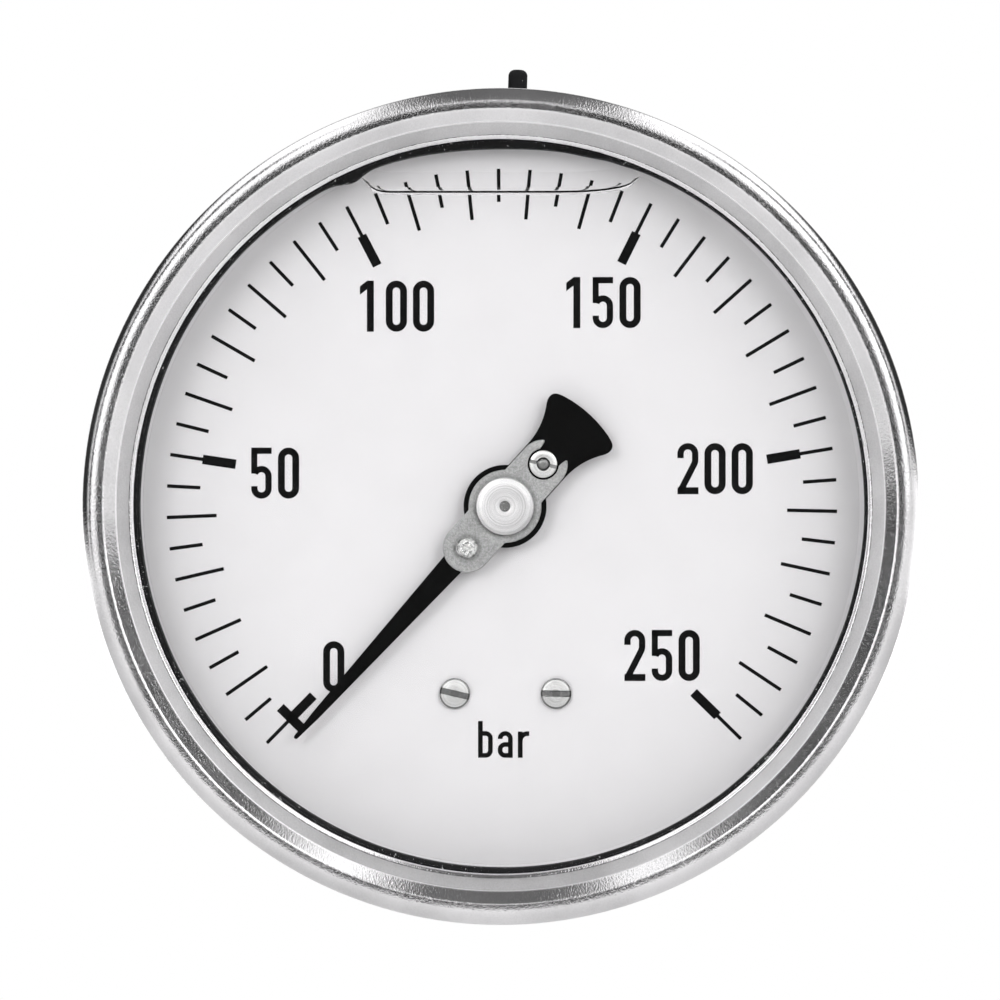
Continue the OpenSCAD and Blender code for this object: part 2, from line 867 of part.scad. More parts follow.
module link_bar() {
    pin_r = link_pin_d / 2;
    open_room = 0.35;
    color("gold")
        works()
            difference() {
                slab(link_d0, link_d1) {
                    translate(tail_at)
                        rotate(pull_angle)
                            translate([0, -1.6])
                                square([link_len, 3.2]);
                    for (at = [tail_at, tip_at])
                        translate(at)
                            circle(r = 2.4);
                }
                rod(tail_at, link_d0 - cut, link_d1 + cut, pin_r + run_fit);
                rod(tip_at, link_d0 - cut, link_d1 + cut, pin_r + open_room);
            }
}

module tube_end() {
    over = 0.6;
    end_angle = tube_tip - tube_end_sweep;
    color("goldenrod") {
        tube_sweep(end_angle, tube_tip)
            ring_part(tube_r - tube_h / 2 - over, tube_r + tube_h / 2 + over, lug_d0, tube_d1 + over);
        works()
            difference() {
                slab(lug_d0, lug_d1) {
                    translate(tip_at)
                        circle(r = 2.6);
                    polygon([
                        tip_at + polar(2.6, tube_tip + 200), polar(tube_r, tube_tip - 1),
                        polar(tube_r, end_angle + 0.5), tip_at + polar(2.6, tube_tip - 60)
                    ]);
                }
                rod(tip_at, lug_d0 - cut, lug_d1 + cut, link_pin_d / 2);
            }
    }
}

module tube_end_pin() {
    pin_r = link_pin_d / 2;
    color("lightgray")
        works()
            headed_pin(tip_at, link_d0 - pass_gap, lug_d1, pin_r, pin_r + 0.8, 0.5);
}

// Draws a front view in the pointer's own directions, with its tip along x
module pointer_slab(d0, d1) {
    works()
        slab(d0, d1)
            rotate(270 - pointer_rest)
                children();
}

// A round hole through the pointer, at a distance u from its axis towards the tip
module pointer_hole(u, d0, d1, r) {
    works()
        rod(polar(u, 270 - pointer_rest), d0 - cut, d1 + cut, r);
}

module pointer_hub() {
    dish_r = 1.2;
    dish_h = 0.25;
    color("silver")
        works()
            difference() {
                union() {
                    rod([0, 0], hub_d0, plate_d0, hub_d / 2);
                    rod([0, 0], plate_d0 - join, hub_d1, hub_neck_d / 2);
                }
                rod([0, 0], hub_d0 - cut, hub_d1 + cut, pivot_r);
                rod([0, 0], hub_d0 - cut, hub_d0 + dish_h, dish_r);
            }
}

module pointer_plate() {
    lobe_r = plate_w / 2;
    fork_r = trim_d / 2 + 0.2;
    mouth_w = 0.9 * trim_d;
    color("silver")
        difference() {
            pointer_slab(plate_d0, plate_d1)
                difference() {
                    union() {
                        circle(d = plate_d);
                        translate([-trim_u, -lobe_r])
                            square([trim_u + rivet_u, plate_w]);
                        for (u = [rivet_u, -trim_u])
                            translate([u, 0])
                                circle(r = lobe_r);
                    }
                    translate([-trim_u, 0])
                        circle(r = fork_r);
                    translate([-trim_u - 2 * lobe_r, -mouth_w / 2])
                        square([2 * lobe_r, mouth_w]);
                }
            pointer_hole(0, plate_d0, plate_d1, hub_neck_d / 2);
            pointer_hole(rivet_u, plate_d0, plate_d1, rivet_d / 4);
        }
}

module pointer_rivet() {
    head_h = 0.3;
    foot_d0 = blade_d1 + pass_gap / 2;
    color("silver")
        works() {
            at = polar(rivet_u, 270 - pointer_rest);
            rod(at, plate_d0 - head_h, plate_d0, rivet_d / 2);
            rod(at, plate_d0 - head_h / 2, foot_d0 + head_h / 2, rivet_d / 4);
            rod(at, foot_d0, foot_d0 + head_h, rivet_d / 2);
        }
}

module pointer_blade() {
    neck_half = plate_w / 2 + 0.1;
    flare_u = 8;
    flare_r = 9.5;
    narrow_u = 0.9 * pointer_len;
    narrow_w = 2 * tip_w;
    color("black")
        difference() {
            pointer_slab(blade_d0, blade_d1) {
                circle(d = boss_d);
                translate([-flare_u, -neck_half])
                    square([flare_u, 2 * neck_half]);
                polygon([
                    [0, -blade_w / 2], [rivet_u + plate_w / 2, -blade_w / 2], [narrow_u, -narrow_w / 2],
                    [pointer_len - tip_w / 2, -tip_w / 2], [pointer_len - tip_w / 2, tip_w / 2],
                    [narrow_u, narrow_w / 2], [rivet_u + plate_w / 2, blade_w / 2], [0, blade_w / 2]
                ]);
                translate([pointer_len - tip_w / 2, 0])
                    circle(d = tip_w);
                difference() {
                    intersection() {
                        circle(r = tail_r);
                        translate([-tail_r, -tail_w / 2])
                            square([tail_r - flare_u, tail_w]);
                    }
                    for (side = [-1, 1])
                        translate([-flare_u, side * (neck_half + flare_r)])
                            circle(r = flare_r);
                }
            }
            pointer_hole(0, blade_d0, blade_d1, hub_neck_d / 2 + 0.4);
            pointer_hole(rivet_u, blade_d0, blade_d1, rivet_d / 4 + run_fit);
            pointer_hole(-trim_u - trim_throw, blade_d0, blade_d1, trim_d / 4 + run_fit);
        }
}

module trim_screw() {
    head_h = blade_t + 0.25;
    foot_d0 = blade_d1 + pass_gap / 2;
    foot_h = 0.3;
    slot_w = 0.6;
    shank_at = polar(-trim_u - trim_throw, 270 - pointer_rest);
    color("silver")
        works() {
            difference() {
                rod(polar(-trim_u, 270 - pointer_rest), plate_d1 - head_h, plate_d1, trim_d / 2);
                place(polar(-trim_u, 270 - pointer_rest), plate_d1 - head_h)
                    rotate(13)
                        translate([-trim_d, -slot_w / 2, -cut])
                            cube([2 * trim_d, slot_w, head_h / 2 + cut]);
            }
            rod(shank_at, plate_d1 - head_h / 4, foot_d0 + foot_h, trim_d / 4);
            rod(shank_at, foot_d0, foot_d0 + foot_h, trim_d / 4 + 0.5);
        }
}

case_shell();
bezel_ring();
window_glass();
window_gasket();
filling_liquid();
vent_plug();
dial_plate();
dial_screws();
dial_standoffs();
pressure_socket();
socket_seal();
case_screws();
restrictor_screw();
bourdon_tube();
movement_front_plate();
movement_back_plate();
movement_pillars();
plate_screws();
hairspring();
hairspring_stud();
pinion_arbor();
hairspring_collet();
pointer_hub();
pointer_plate();
pointer_rivet();
pointer_blade();
trim_screw();
sector_gear();
sector_arbor();
sector_link_pin();
link_bar();
tube_end();
tube_end_pin();
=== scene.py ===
"""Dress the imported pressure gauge: its visible shapes, finishes, light and camera."""

import json
import logging
import math
from dataclasses import dataclass, field
from enum import Enum
from typing import Sequence

import bmesh
import bpy
from bmesh.types import BMEdge, BMesh, BMVert
from bpy.types import Material, Node, NodeSocket, NodeTree, Object
from mathutils import Matrix, Vector, noise

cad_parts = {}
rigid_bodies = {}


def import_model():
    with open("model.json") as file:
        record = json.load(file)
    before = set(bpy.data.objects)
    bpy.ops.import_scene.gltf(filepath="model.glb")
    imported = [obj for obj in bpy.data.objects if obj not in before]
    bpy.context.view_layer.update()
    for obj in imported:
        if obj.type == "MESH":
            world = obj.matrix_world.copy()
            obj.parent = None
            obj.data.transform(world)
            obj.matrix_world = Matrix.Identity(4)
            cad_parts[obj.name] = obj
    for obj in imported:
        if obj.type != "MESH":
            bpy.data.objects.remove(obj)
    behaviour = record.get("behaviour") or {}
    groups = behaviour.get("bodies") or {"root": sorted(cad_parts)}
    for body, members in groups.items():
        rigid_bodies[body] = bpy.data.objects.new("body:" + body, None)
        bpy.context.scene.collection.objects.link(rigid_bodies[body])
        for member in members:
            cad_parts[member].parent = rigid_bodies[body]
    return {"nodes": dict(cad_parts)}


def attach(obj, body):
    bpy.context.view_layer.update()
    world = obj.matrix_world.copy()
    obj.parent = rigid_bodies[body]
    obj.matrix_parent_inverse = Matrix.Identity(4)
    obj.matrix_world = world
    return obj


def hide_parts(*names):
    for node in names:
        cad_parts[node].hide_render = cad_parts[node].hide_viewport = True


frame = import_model()

LOG = logging.getLogger("pressure_gauge")

Pair = tuple[float, float]
Triple = tuple[float, float, float]
Colour = tuple[float, float, float]
Value = NodeSocket | float

# Sizes are in millimetres until a shape is placed
MM = 0.001
# How far the thread's start lies behind the bezel's front
THREAD_DEPTH = 63.0
# How far the dial's axis lies above the connection's axis
AXIS_UP = 30.0
DIAL_AXIS = (0.0, AXIS_UP)
# The movement sits a little to the right of the dial's axis
MOVEMENT_X = 0.5
MOVEMENT_AXIS = (MOVEMENT_X, AXIS_UP)
# Where the pointer's tip points, counter-clockwise from the right
POINTER_BEARING = 227.8
# Where the rivet and the setting screw sit along the pointer
RIVET_U = 7.25
SETTING_U = -7.35
# How large the heads of the hub and the rivet are
HUB_R = 3.7
RIVET_R = 1.4
# Where the two dial screws sit, beside the movement's axis and above the connection's
DIAL_SCREW_SIDE = 6.55
DIAL_SCREW_UP = 5.8
DIAL_SCREWS = tuple((MOVEMENT_X + side, DIAL_SCREW_UP) for side in (-DIAL_SCREW_SIDE, DIAL_SCREW_SIDE))
# Where the bezel's slope ends, at the step down to its lip
CREASE_R = 49.17
BEZEL_NAME = "bezel_rolled_ring"
# Points of a turned shape that lie closer than this are one
SAME_POINT = 0.0001
# The same for a construction node, and the angle in degrees up to which its facets are one face
NODE_WELD = 0.002
NODE_FLAT = 0.4
# The ranges that most of a noise, and the middle of it, lie in
MOST = (0.3, 0.7)
MIDDLE = (0.35, 0.65)
# What the two ends of a range become where a value rises or falls over it
RISING = (0.0, 1.0)
FALLING = (1.0, 0.0)
BLACK = (0.0, 0.0, 0.0)


def along_pointer(u: float) -> Pair:
    """Give the place, right of the dial's axis and above the connection's, that far along the pointer."""
    way = math.radians(POINTER_BEARING)
    return (MOVEMENT_X + u * math.cos(way), AXIS_UP + u * math.sin(way))


class Body(Enum):
    """The moving bodies that a piece can ride on."""

    CASE = "case"
    POINTER = "pointer"
    BLADE = "blade"
    TRIM = "trim"


class Slot(Enum):
    """The record's finishes that the new pieces take."""

    POLISHED_STEEL = "polished_steel"
    CASE_STEEL = "case_steel"
    SOCKET_STEEL = "socket_steel"
    CLEAR_GLASS = "clear_glass"
    FILLING = "filling"
    BLACK_RUBBER = "black_rubber"
    DIAL_WHITE = "dial_white"
    SCREW_STEEL = "screw_steel"
    POINTER_BLACK = "pointer_black"
    POINTER_SILVER = "pointer_silver"


class Grain(Enum):
    """How the marks of making run over a metal."""

    TURNED = "turned"
    DRAWN = "drawn"
    STAMPED = "stamped"


# Shaping


def on_axis(x: float = 0.0, z: float = AXIS_UP, bearing: float = 0.0) -> Matrix:
    """Place a shape in the gauge, with its height running back from the bezel's front.

    Args:
        x: How far right of the dial's axis the shape's axis lies.
        z: How far above the connection's axis it lies.
        bearing: How far the shape turns counter-clockwise, seen from the front, in degrees.

    Returns:
        The matrix from the shape's millimetres to the gauge's metres.
    """
    stand = Matrix(((1, 0, 0, x), (0, 0, 1, -THREAD_DEPTH), (0, -1, 0, z), (0, 0, 0, 1)))
    return Matrix.Scale(MM, 4) @ stand @ Matrix.Rotation(-math.radians(bearing), 4, "Z")


def arc_points(centre: Pair, radius: float, start: float, end: float, count: int) -> list[Pair]:
    """Give the points of an arc in a profile.

    Args:
        centre: The arc's centre, as radius and depth.
        radius: The arc's radius.
        start: The bearing of its first point, in degrees.
        end: The bearing of its last point, in degrees.
        count: How many steps lie between them.

    Returns:
        The points, both ends among them.
    """
    turns = [math.radians(start + (end - start) * i / count) for i in range(count + 1)]
    return [(centre[0] + radius * math.cos(a), centre[1] + radius * math.sin(a)) for a in turns]


def verts_in(geom: Sequence[object]) -> list[BMVert]:
    """Pick the points out of what an operator gives back."""
    return [part for part in geom if isinstance(part, BMVert)]


def edges_in(geom: Sequence[object]) -> list[BMEdge]:
    """Pick the edges out of what an operator gives back."""
    return [part for part in geom if isinstance(part, BMEdge)]


def placed(shape: BMesh, place: Matrix) -> BMesh:
    """Turn a closed shape's faces outwards and move it to its place.

    Args:
        shape: The shape.
        place: Where it goes.

    Returns:
        The same shape.
    """
    bmesh.ops.recalc_face_normals(shape, faces=shape.faces[:])
    bmesh.ops.transform(shape, matrix=place, verts=shape.verts[:])
    return shape


def thicken(shape: BMesh, deep: float) -> None:
    """Draw all faces of a flat shape out to a depth."""
    raised = bmesh.ops.extrude_face_region(shape, geom=shape.faces[:])["geom"]
    bmesh.ops.translate(shape, verts=verts_in(raised), vec=(0, 0, deep))


def turned(profile: Sequence[Pair], place: Matrix, steps: int = 72, closed: bool = False) -> BMesh:
    """Turn a profile on a lathe.

    Args:
        profile: The points of the profile, as radius and height.
        place: Where the shape goes.
        steps: How many flats go round.
        closed: Whether the last point joins the first, as in a ring.

    Returns:
        The turned shape.
    """
    shape = bmesh.new()
    corners = [shape.verts.new((radius, 0.0, height)) for radius, height in profile]
    line = [shape.edges.new(pair) for pair in zip(corners, corners[1:])]
    if closed:
        line.append(shape.edges.new((corners[-1], corners[0])))
    bmesh.ops.spin(
        shape, geom=corners + line, cent=(0, 0, 0), axis=(0, 0, 1), angle=math.tau, steps=steps,
        use_merge=True,
    )
    bmesh.ops.remove_doubles(shape, verts=shape.verts[:], dist=SAME_POINT)
    return placed(shape, place)


def block(size: Triple, place: Matrix) -> BMesh:
    """Make a block about its own middle.

    Args:
        size: Its three sides.
        place: Where its middle goes.

    Returns:
        The block.
    """
    shape = bmesh.new()
    bmesh.ops.create_cube(shape, size=1.0, matrix=place @ Matrix.Diagonal((*size, 1.0)))
    return shape


def node_copy(node: str) -> BMesh:
    """Copy a construction node's mesh and join its loose triangles.

    Args:
        node: The node's name.

    Returns:
        The joined copy.
    """
    shape = bmesh.new()
    shape.from_mesh(frame["nodes"][node].data)
    bmesh.ops.remove_doubles(shape, verts=shape.verts[:], dist=NODE_WELD * MM)
    bmesh.ops.dissolve_limit(
        shape, angle_limit=math.radians(NODE_FLAT), verts=shape.verts[:], edges=shape.edges[:]
    )
    return shape


def soften(shape: BMesh, width: float, over: float = 35.0, segments: int = 2) -> BMesh:
    """Round a shape's sharp edges.

    Args:
        shape: The shape to round.
        width: How wide the rounding is.
        over: The least angle of an edge that counts as sharp, in degrees.
        segments: How many flats the rounding has.

    Returns:
        The same shape.
    """
    sharp = [e for e in shape.edges if e.is_manifold and e.calc_face_angle() > math.radians(over)]
    bmesh.ops.bevel(
        shape, geom=sharp, offset=width * MM, segments=segments, profile=0.5, affect="EDGES",
        clamp_overlap=True, material=-1,
    )
    return shape


def as_object(shape: BMesh, name: str) -> Object:
    """Put a shape in the scene and let go of its working copy.

    Args:
        shape: The shape.
        name: The object's name.

    Returns:
        The new object.
    """
    mesh = bpy.data.meshes.new(name)
    shape.to_mesh(mesh)
    shape.free()
    for stale in [a.name for a in mesh.attributes if a.name == "custom_normal"]:
        mesh.attributes.remove(mesh.attributes[stale])
    made = bpy.data.objects.new(name, mesh)
    bpy.context.scene.collection.objects.link(made)
    return made


def cut_away(shape: BMesh, *cutters: BMesh) -> BMesh:
    """Take the room of some cutters out of a shape.

    Args:
        shape: The shape to cut.
        cutters: The closed shapes that cut it.

    Returns:
        What is left.
    """
    stock = as_object(shape, "stock")
    tools = [as_object(cutter, "cutter") for cutter in cutters]
    for tool in tools:
        cut = stock.modifiers.new("cut", "BOOLEAN")
        cut.operation, cut.solver, cut.object = "DIFFERENCE", "EXACT", tool
    left = bmesh.new()
    left.from_mesh(stock.evaluated_get(bpy.context.evaluated_depsgraph_get()).to_mesh())
    for spent in (stock, *tools):
        mesh = spent.data
        bpy.data.objects.remove(spent)
        bpy.data.meshes.remove(mesh)
    return left


def joined(shapes: Sequence[BMesh]) -> BMesh:
    """Gather several shapes into one piece.

    Args:
        shapes: The shapes, which are used up.

    Returns:
        One shape that holds them all.
    """
    whole = bmesh.new()
    for shape in shapes:
        mesh = bpy.data.meshes.new("gathered")
        shape.to_mesh(mesh)
        shape.free()
        whole.from_mesh(mesh)
        bpy.data.meshes.remove(mesh)
    return whole


def keep(
    shape: BMesh, name: str, finish: "Finish", body: Body, nodes: Sequence[str] = (),
    sharp: float = 20.0,
) -> None:
    """Finish a piece and fasten it to its body.

    Args:
        shape: The piece's shape, which is used up.
        name: The piece's name.
        finish: What its surface is made of.
        body: The body that it moves with.
        nodes: The construction nodes that it stands for.
        sharp: The least angle of an edge that stays sharp, in degrees.
    """
    piece = as_object(shape, name)
    piece.data.shade_smooth()
    piece.data.set_sharp_from_angle(angle=math.radians(sharp))
    piece.data.materials.clear()
    piece.data.materials.append(finish.material())
    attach(piece, body.value)
    if nodes:
        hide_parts(*nodes)
    LOG.info("%s: %d faces on %s", name, len(piece.data.polygons), body.value)


def dress_node(node: str, finish: "Finish") -> None:
    """Give a construction node that stays in view its finish.

    Args:
        node: The node's name.
        finish: What its surface is made of.
    """
    slots = frame["nodes"][node].data.materials
    slots.clear()
    slots.append(finish.material())
    LOG.info("%s: dressed as it is", node)


# Finishes


class Wiring:
    """A node tree, with the few moves that the finishes share."""

    def __init__(self, tree: NodeTree) -> None:
        """Take over a tree and clear it."""
        self.tree = tree
        self.tree.nodes.clear()

    def add(self, kind: str, sockets: dict | None = None, **options: object) -> Node:
        """Add a node.

        Args:
            kind: The node's type.
            sockets: What each of its inputs holds or is wired to.
            options: The node's own settings.

        Returns:
            The node.
        """
        node = self.tree.nodes.new(kind)
        for name, value in options.items():
            setattr(node, name, value)
        for key, value in (sockets or {}).items():
            if isinstance(value, NodeSocket):
                self.tree.links.new(value, node.inputs[key])
            else:
                node.inputs[key].default_value = value
        return node

    def sum(self, operation: str, first: Value, *others: Value) -> NodeSocket:
        """Work out a sum from its first value to its last.

        Args:
            operation: What is done at each step.
            first: The first number or socket.
            others: The numbers or sockets that follow, if any.

        Returns:
            The outcome.
        """
        for other in others or (0.0,):
            first = self.add("ShaderNodeMath", {0: first, 1: other}, operation=operation).outputs[0]
        return first

    def swing(self, value: Value, share: Value) -> NodeSocket:
        """Let a noise swing about nought by a share."""
        return self.sum("MULTIPLY", self.sum("SUBTRACT", value, 0.5), share)

    def span(self, value: Value, ends: Pair, smooth: bool = False, to: Pair = RISING) -> NodeSocket:
        """Carry a value from one range to another.

        Args:
            value: The socket to carry over.
            ends: The two ends of its range.
            smooth: Whether the ends are eased.
            to: What the two ends become.

        Returns:
            The new value.
        """
        ease = "SMOOTHSTEP" if smooth else "LINEAR"
        sockets = {"Value": value, "From Min": ends[0], "From Max": ends[1], "To Min": to[0], "To Max": to[1]}
        return self.add("ShaderNodeMapRange", sockets, interpolation_type=ease).outputs[0]

    def sweep(self, angle: Value, ends: Pair, to: Pair = RISING) -> NodeSocket:
        """Ease a value over a range of angles, which is given in degrees."""
        return self.span(angle, (math.radians(ends[0]), math.radians(ends[1])), True, to)

    def about(self, centre: Pair, scale: Triple = (1.0, 1.0, 1.0)) -> NodeSocket:
        """Give the surface's own place, measured from an axis that runs front to back.

        Args:
            centre: The axis, in millimetres right and up.
            scale: How far each direction is stretched.

        Returns:
            The place as a vector.
        """
        place = self.add("ShaderNodeTexCoord").outputs["Object"]
        shift = (-centre[0] * MM * scale[0], 0.0, -centre[1] * MM * scale[2])
        return self.add("ShaderNodeMapping", {"Vector": place, "Location": shift, "Scale": scale}).outputs[0]

    def radius(self, centre: Pair) -> NodeSocket:
        """Give the distance from an axis that runs front to back."""
        flat = self.about(centre, (1.0, 0.0, 1.0))
        return self.add("ShaderNodeVectorMath", {0: flat}, operation="LENGTH").outputs["Value"]

    def cloud(self, place: NodeSocket, scale: float, detail: float = 3.0, rough: float = 0.55) -> NodeSocket:
        """Lay an even noise over the surface.

        Args:
            place: The vector that it follows.
            scale: How many spots lie in a metre.
            detail: How many finer layers it has.
            rough: How strong the finer layers are.

        Returns:
            The noise.
        """
        sockets = {"Vector": place, "Scale": scale, "Detail": detail, "Roughness": rough}
        return self.add("ShaderNodeTexNoise", sockets).outputs[0]

    def rings(self, along: NodeSocket, radius: NodeSocket, fine: float, rough: float = 0.55) -> NodeSocket:
        """Lay the marks of a turning tool round an axis.

        Args:
            along: The vector that a mark slowly changes with on its way round.
            radius: The distance from the axis.
            fine: How many marks lie in a metre across them.
            rough: How strong the finer marks are.

        Returns:
            The marks.
        """
        across = self.sum("MULTIPLY", radius, fine)
        sockets = {"Vector": along, "W": across, "Scale": 1.0, "Detail": 2.0, "Roughness": rough}
        return self.add("ShaderNodeTexNoise", sockets, noise_dimensions="4D").outputs[0]

    def shade(self, value: Value, stops: Sequence[tuple[float, Colour]]) -> NodeSocket:
        """Turn a value into a colour.

        Args:
            value: The socket that picks the colour.
            stops: The places on the way and their colours.

        Returns:
            The colour.
        """
        node = self.add("ShaderNodeValToRGB", {0: value})
        ramp = node.color_ramp.elements
        while len(ramp) < len(stops):
            ramp.new(0.5)
        for element, (place, colour) in zip(ramp, stops):
            element.position, element.color = place, (*colour, 1.0)
        return node.outputs[0]

    def tinted(self, value: Value, colour: Colour) -> NodeSocket:
        """Give a colour as light as a value says."""
        return self.shade(value, [(0.0, BLACK), (1.0, colour)])

    def relief(
        self, height: Value, deep: float, strength: float = 1.0, over: NodeSocket | None = None
    ) -> NodeSocket:
        """Raise a fine relief.

        Args:
            height: The socket that shapes it.
            deep: How deep it is, in millimetres.
            strength: How much of it shows.
            over: A relief that it lies on.

        Returns:
            The bent normal.
        """
        sockets = {"Height": height, "Distance": deep * MM, "Strength": strength}
        if over is not None:
            sockets["Normal"] = over
        return self.add("ShaderNodeBump", sockets).outputs[0]

    def surface(self, sockets: dict) -> None:
        """Add the shader of a solid surface and wire it to the output."""
        shader = self.add("ShaderNodeBsdfPrincipled", sockets)
        self.add("ShaderNodeOutputMaterial", {"Surface": shader.outputs[0]})


@dataclass(frozen=True)
class Finish:
    """What a surface is made of. Scales count spots in a metre, and depths are in millimetres."""

    name: str

    def material(self) -> Material:
        """Make the finish's material, once.

        Returns:
            The material.
        """
        found = bpy.data.materials.get(self.name)
        if found is None:
            found = bpy.data.materials.new(self.name)
            found.use_nodes = True
            self.wire(Wiring(found.node_tree))
        return found

    def wire(self, nodes: Wiring) -> None:
        """Lay out the finish's nodes."""
        raise NotImplementedError


def darker(colour: Colour, share: float) -> Colour:
    """Scale a colour's light."""
    return (colour[0] * share, colour[1] * share, colour[2] * share)


@dataclass(frozen=True)
class Metal(Finish):
    """A worked metal with the marks of how it was made."""

    colour: Colour = (0.7, 0.7, 0.7)
    dull: float = 0.8
    gloss: Pair = (0.22, 0.38)
    grain: Grain = Grain.STAMPED
    centre: Pair = DIAL_AXIS
    fine: float = 2500.0
    deep: float = 0.006
    ring_slow: float = 25.0
    drawn_stretch: Triple = (0.04, 1.0, 0.04)
    stain_scale: float = 130.0
    stain_share: float = 0.65
    stain_range: Pair = (0.32, 0.62)

    def wire(self, nodes: Wiring) -> None:
        """Lay out slow stains, marks and a fine relief.

        Args:
            nodes: The material's node tree.
        """
        place = nodes.about(self.centre)
        if self.grain is Grain.TURNED:
            along = nodes.about(self.centre, (self.ring_slow, self.fine, self.ring_slow))
            marks = nodes.rings(along, nodes.radius(self.centre), self.fine)
        elif self.grain is Grain.DRAWN:
            marks = nodes.cloud(nodes.about(self.centre, self.drawn_stretch), self.fine)
        else:
            marks = nodes.cloud(place, self.fine)
        stains = nodes.sum("MULTIPLY", nodes.cloud(place, self.stain_scale, 5.0, 0.6), self.stain_share)
        mixed = nodes.sum("ADD", stains, nodes.sum("MULTIPLY", marks, 1.0 - self.stain_share))
        tones = (darker(self.colour, self.dull), self.colour)
        nodes.surface({
            "Base Color": nodes.shade(mixed, list(zip(self.stain_range, tones))), "Metallic": 1.0,
            "Roughness": nodes.span(mixed, MIDDLE, to=self.gloss), "Normal": nodes.relief(marks, self.deep),
        })


@dataclass(frozen=True)
class TurnedHead(Finish):
    """A small turned face, with the tool's rings, and a tone from its middle outwards that paints shade and
    highlights onto its rings, rims and hollows.
    """

    colour: Colour = (0.8, 0.8, 0.8)
    centres: tuple[Pair, ...] = (DIAL_AXIS,)
    tones: tuple[Pair, ...] = ((0.0, 1.0), (1.0, 1.0))
    gloss: Pair = (0.3, 0.42)
    fine: float = 5200.0
    deep: float = 0.02
    ring_slow: float = 60.0
    ring_tones: Pair = (0.84, 1.03)
    dent_scale: float = 2300.0
    dent_range: Pair = (0.36, 0.6)
    dent_deep: float = 0.0
    # How dark the dents are painted, as painted shade in their hollows
    dent_shade: float = 1.0
    slot_floor: float = THREAD_DEPTH
    slot_edge: float = 0.06
    # How dark the slot is painted, as painted shade in it
    slot_shade: float = 1.0

    def wire(self, nodes: Wiring) -> None:
        """Lay out rings, dents darkened as painted shade, painted tones round the nearest axis, and a slot
        darkened as painted shade.

        Args:
            nodes: The material's node tree.
        """
        radius = nodes.radius(self.centres[0])
        for centre in self.centres[1:]:
            radius = nodes.sum("MINIMUM", radius, nodes.radius(centre))
        along = nodes.about(self.centres[0], (self.ring_slow,) * 3)
        marks = nodes.rings(along, radius, self.fine, 0.6)
        dents = nodes.cloud(nodes.about(self.centres[0]), self.dent_scale, 2.0, 0.6)
        reach = self.tones[-1][0]
        stops = [(at / reach, (share, share, share)) for at, share in self.tones]
        # Painted shade: darker in the dents' hollows, and darker from a depth back, which shades the slot and
        # the head's side
        back = nodes.add("ShaderNodeSeparateXYZ", {0: nodes.about((0.0, 0.0))}).outputs[1]
        start = (self.slot_floor - THREAD_DEPTH) * MM
        value = nodes.sum(
            "MULTIPLY", nodes.shade(nodes.span(radius, (0.0, reach * MM)), stops),
            nodes.span(marks, MOST, to=self.ring_tones),
            nodes.span(dents, self.dent_range, to=(self.dent_shade, 1.0)),
            nodes.span(back, (start, start + self.slot_edge * MM), to=(1.0, self.slot_shade)),
        )
        nodes.surface({
            "Base Color": nodes.tinted(value, self.colour), "Metallic": 1.0,
            "Roughness": nodes.span(marks, MOST, to=self.gloss),
            "Normal": nodes.relief(marks, self.deep, over=nodes.relief(dents, self.dent_deep)),
        })


@dataclass(frozen=True)
class StampedPlate(Finish):
    """A stamped satin plate, with painted contact shade close round the pieces that are pressed on it."""

    colour: Colour = (0.5, 0.5, 0.5)
    gloss: Pair = (0.34, 0.42)
    seats: tuple[tuple[Pair, float], ...] = ()
    # Painted contact shade round each seat: how far past its edge it fades out, and how dark it starts
    contact_shade_reach: Pair = (0.15, 0.7)
    contact_shade_tone: float = 0.68
    grain_scale: float = 4600.0
    grain_tones: Pair = (0.66, 1.08)
    grain_deep: float = 0.03
    stain_scale: float = 260.0
    stain_tone: float = 0.9

    def wire(self, nodes: Wiring) -> None:
        """Lay out an even grain and the rings of painted contact shade round the pressed pieces.

        Args:
            nodes: The material's node tree.
        """
        place = nodes.about(DIAL_AXIS)
        grain = nodes.cloud(place, self.grain_scale, 2.0)
        value = nodes.span(nodes.cloud(place, self.stain_scale, 4.0), MOST, to=(self.stain_tone, 1.0))
        # Painted contact shade: darken the plate in a ring round the hub and the rivet
        for centre, edge in self.seats:
            ends = ((edge + self.contact_shade_reach[0]) * MM, (edge + self.contact_shade_reach[1]) * MM)
            contact_shaded = nodes.span(nodes.radius(centre), ends, True, (self.contact_shade_tone, 1.0))
            value = nodes.sum("MULTIPLY", value, contact_shaded)
        value = nodes.sum("MULTIPLY", value, nodes.span(grain, MOST, to=self.grain_tones))
        nodes.surface({
            "Base Color": nodes.tinted(value, self.colour), "Metallic": 1.0,
            "Roughness": nodes.span(grain, MOST, to=self.gloss),
            "Normal": nodes.relief(grain, self.grain_deep),
        })


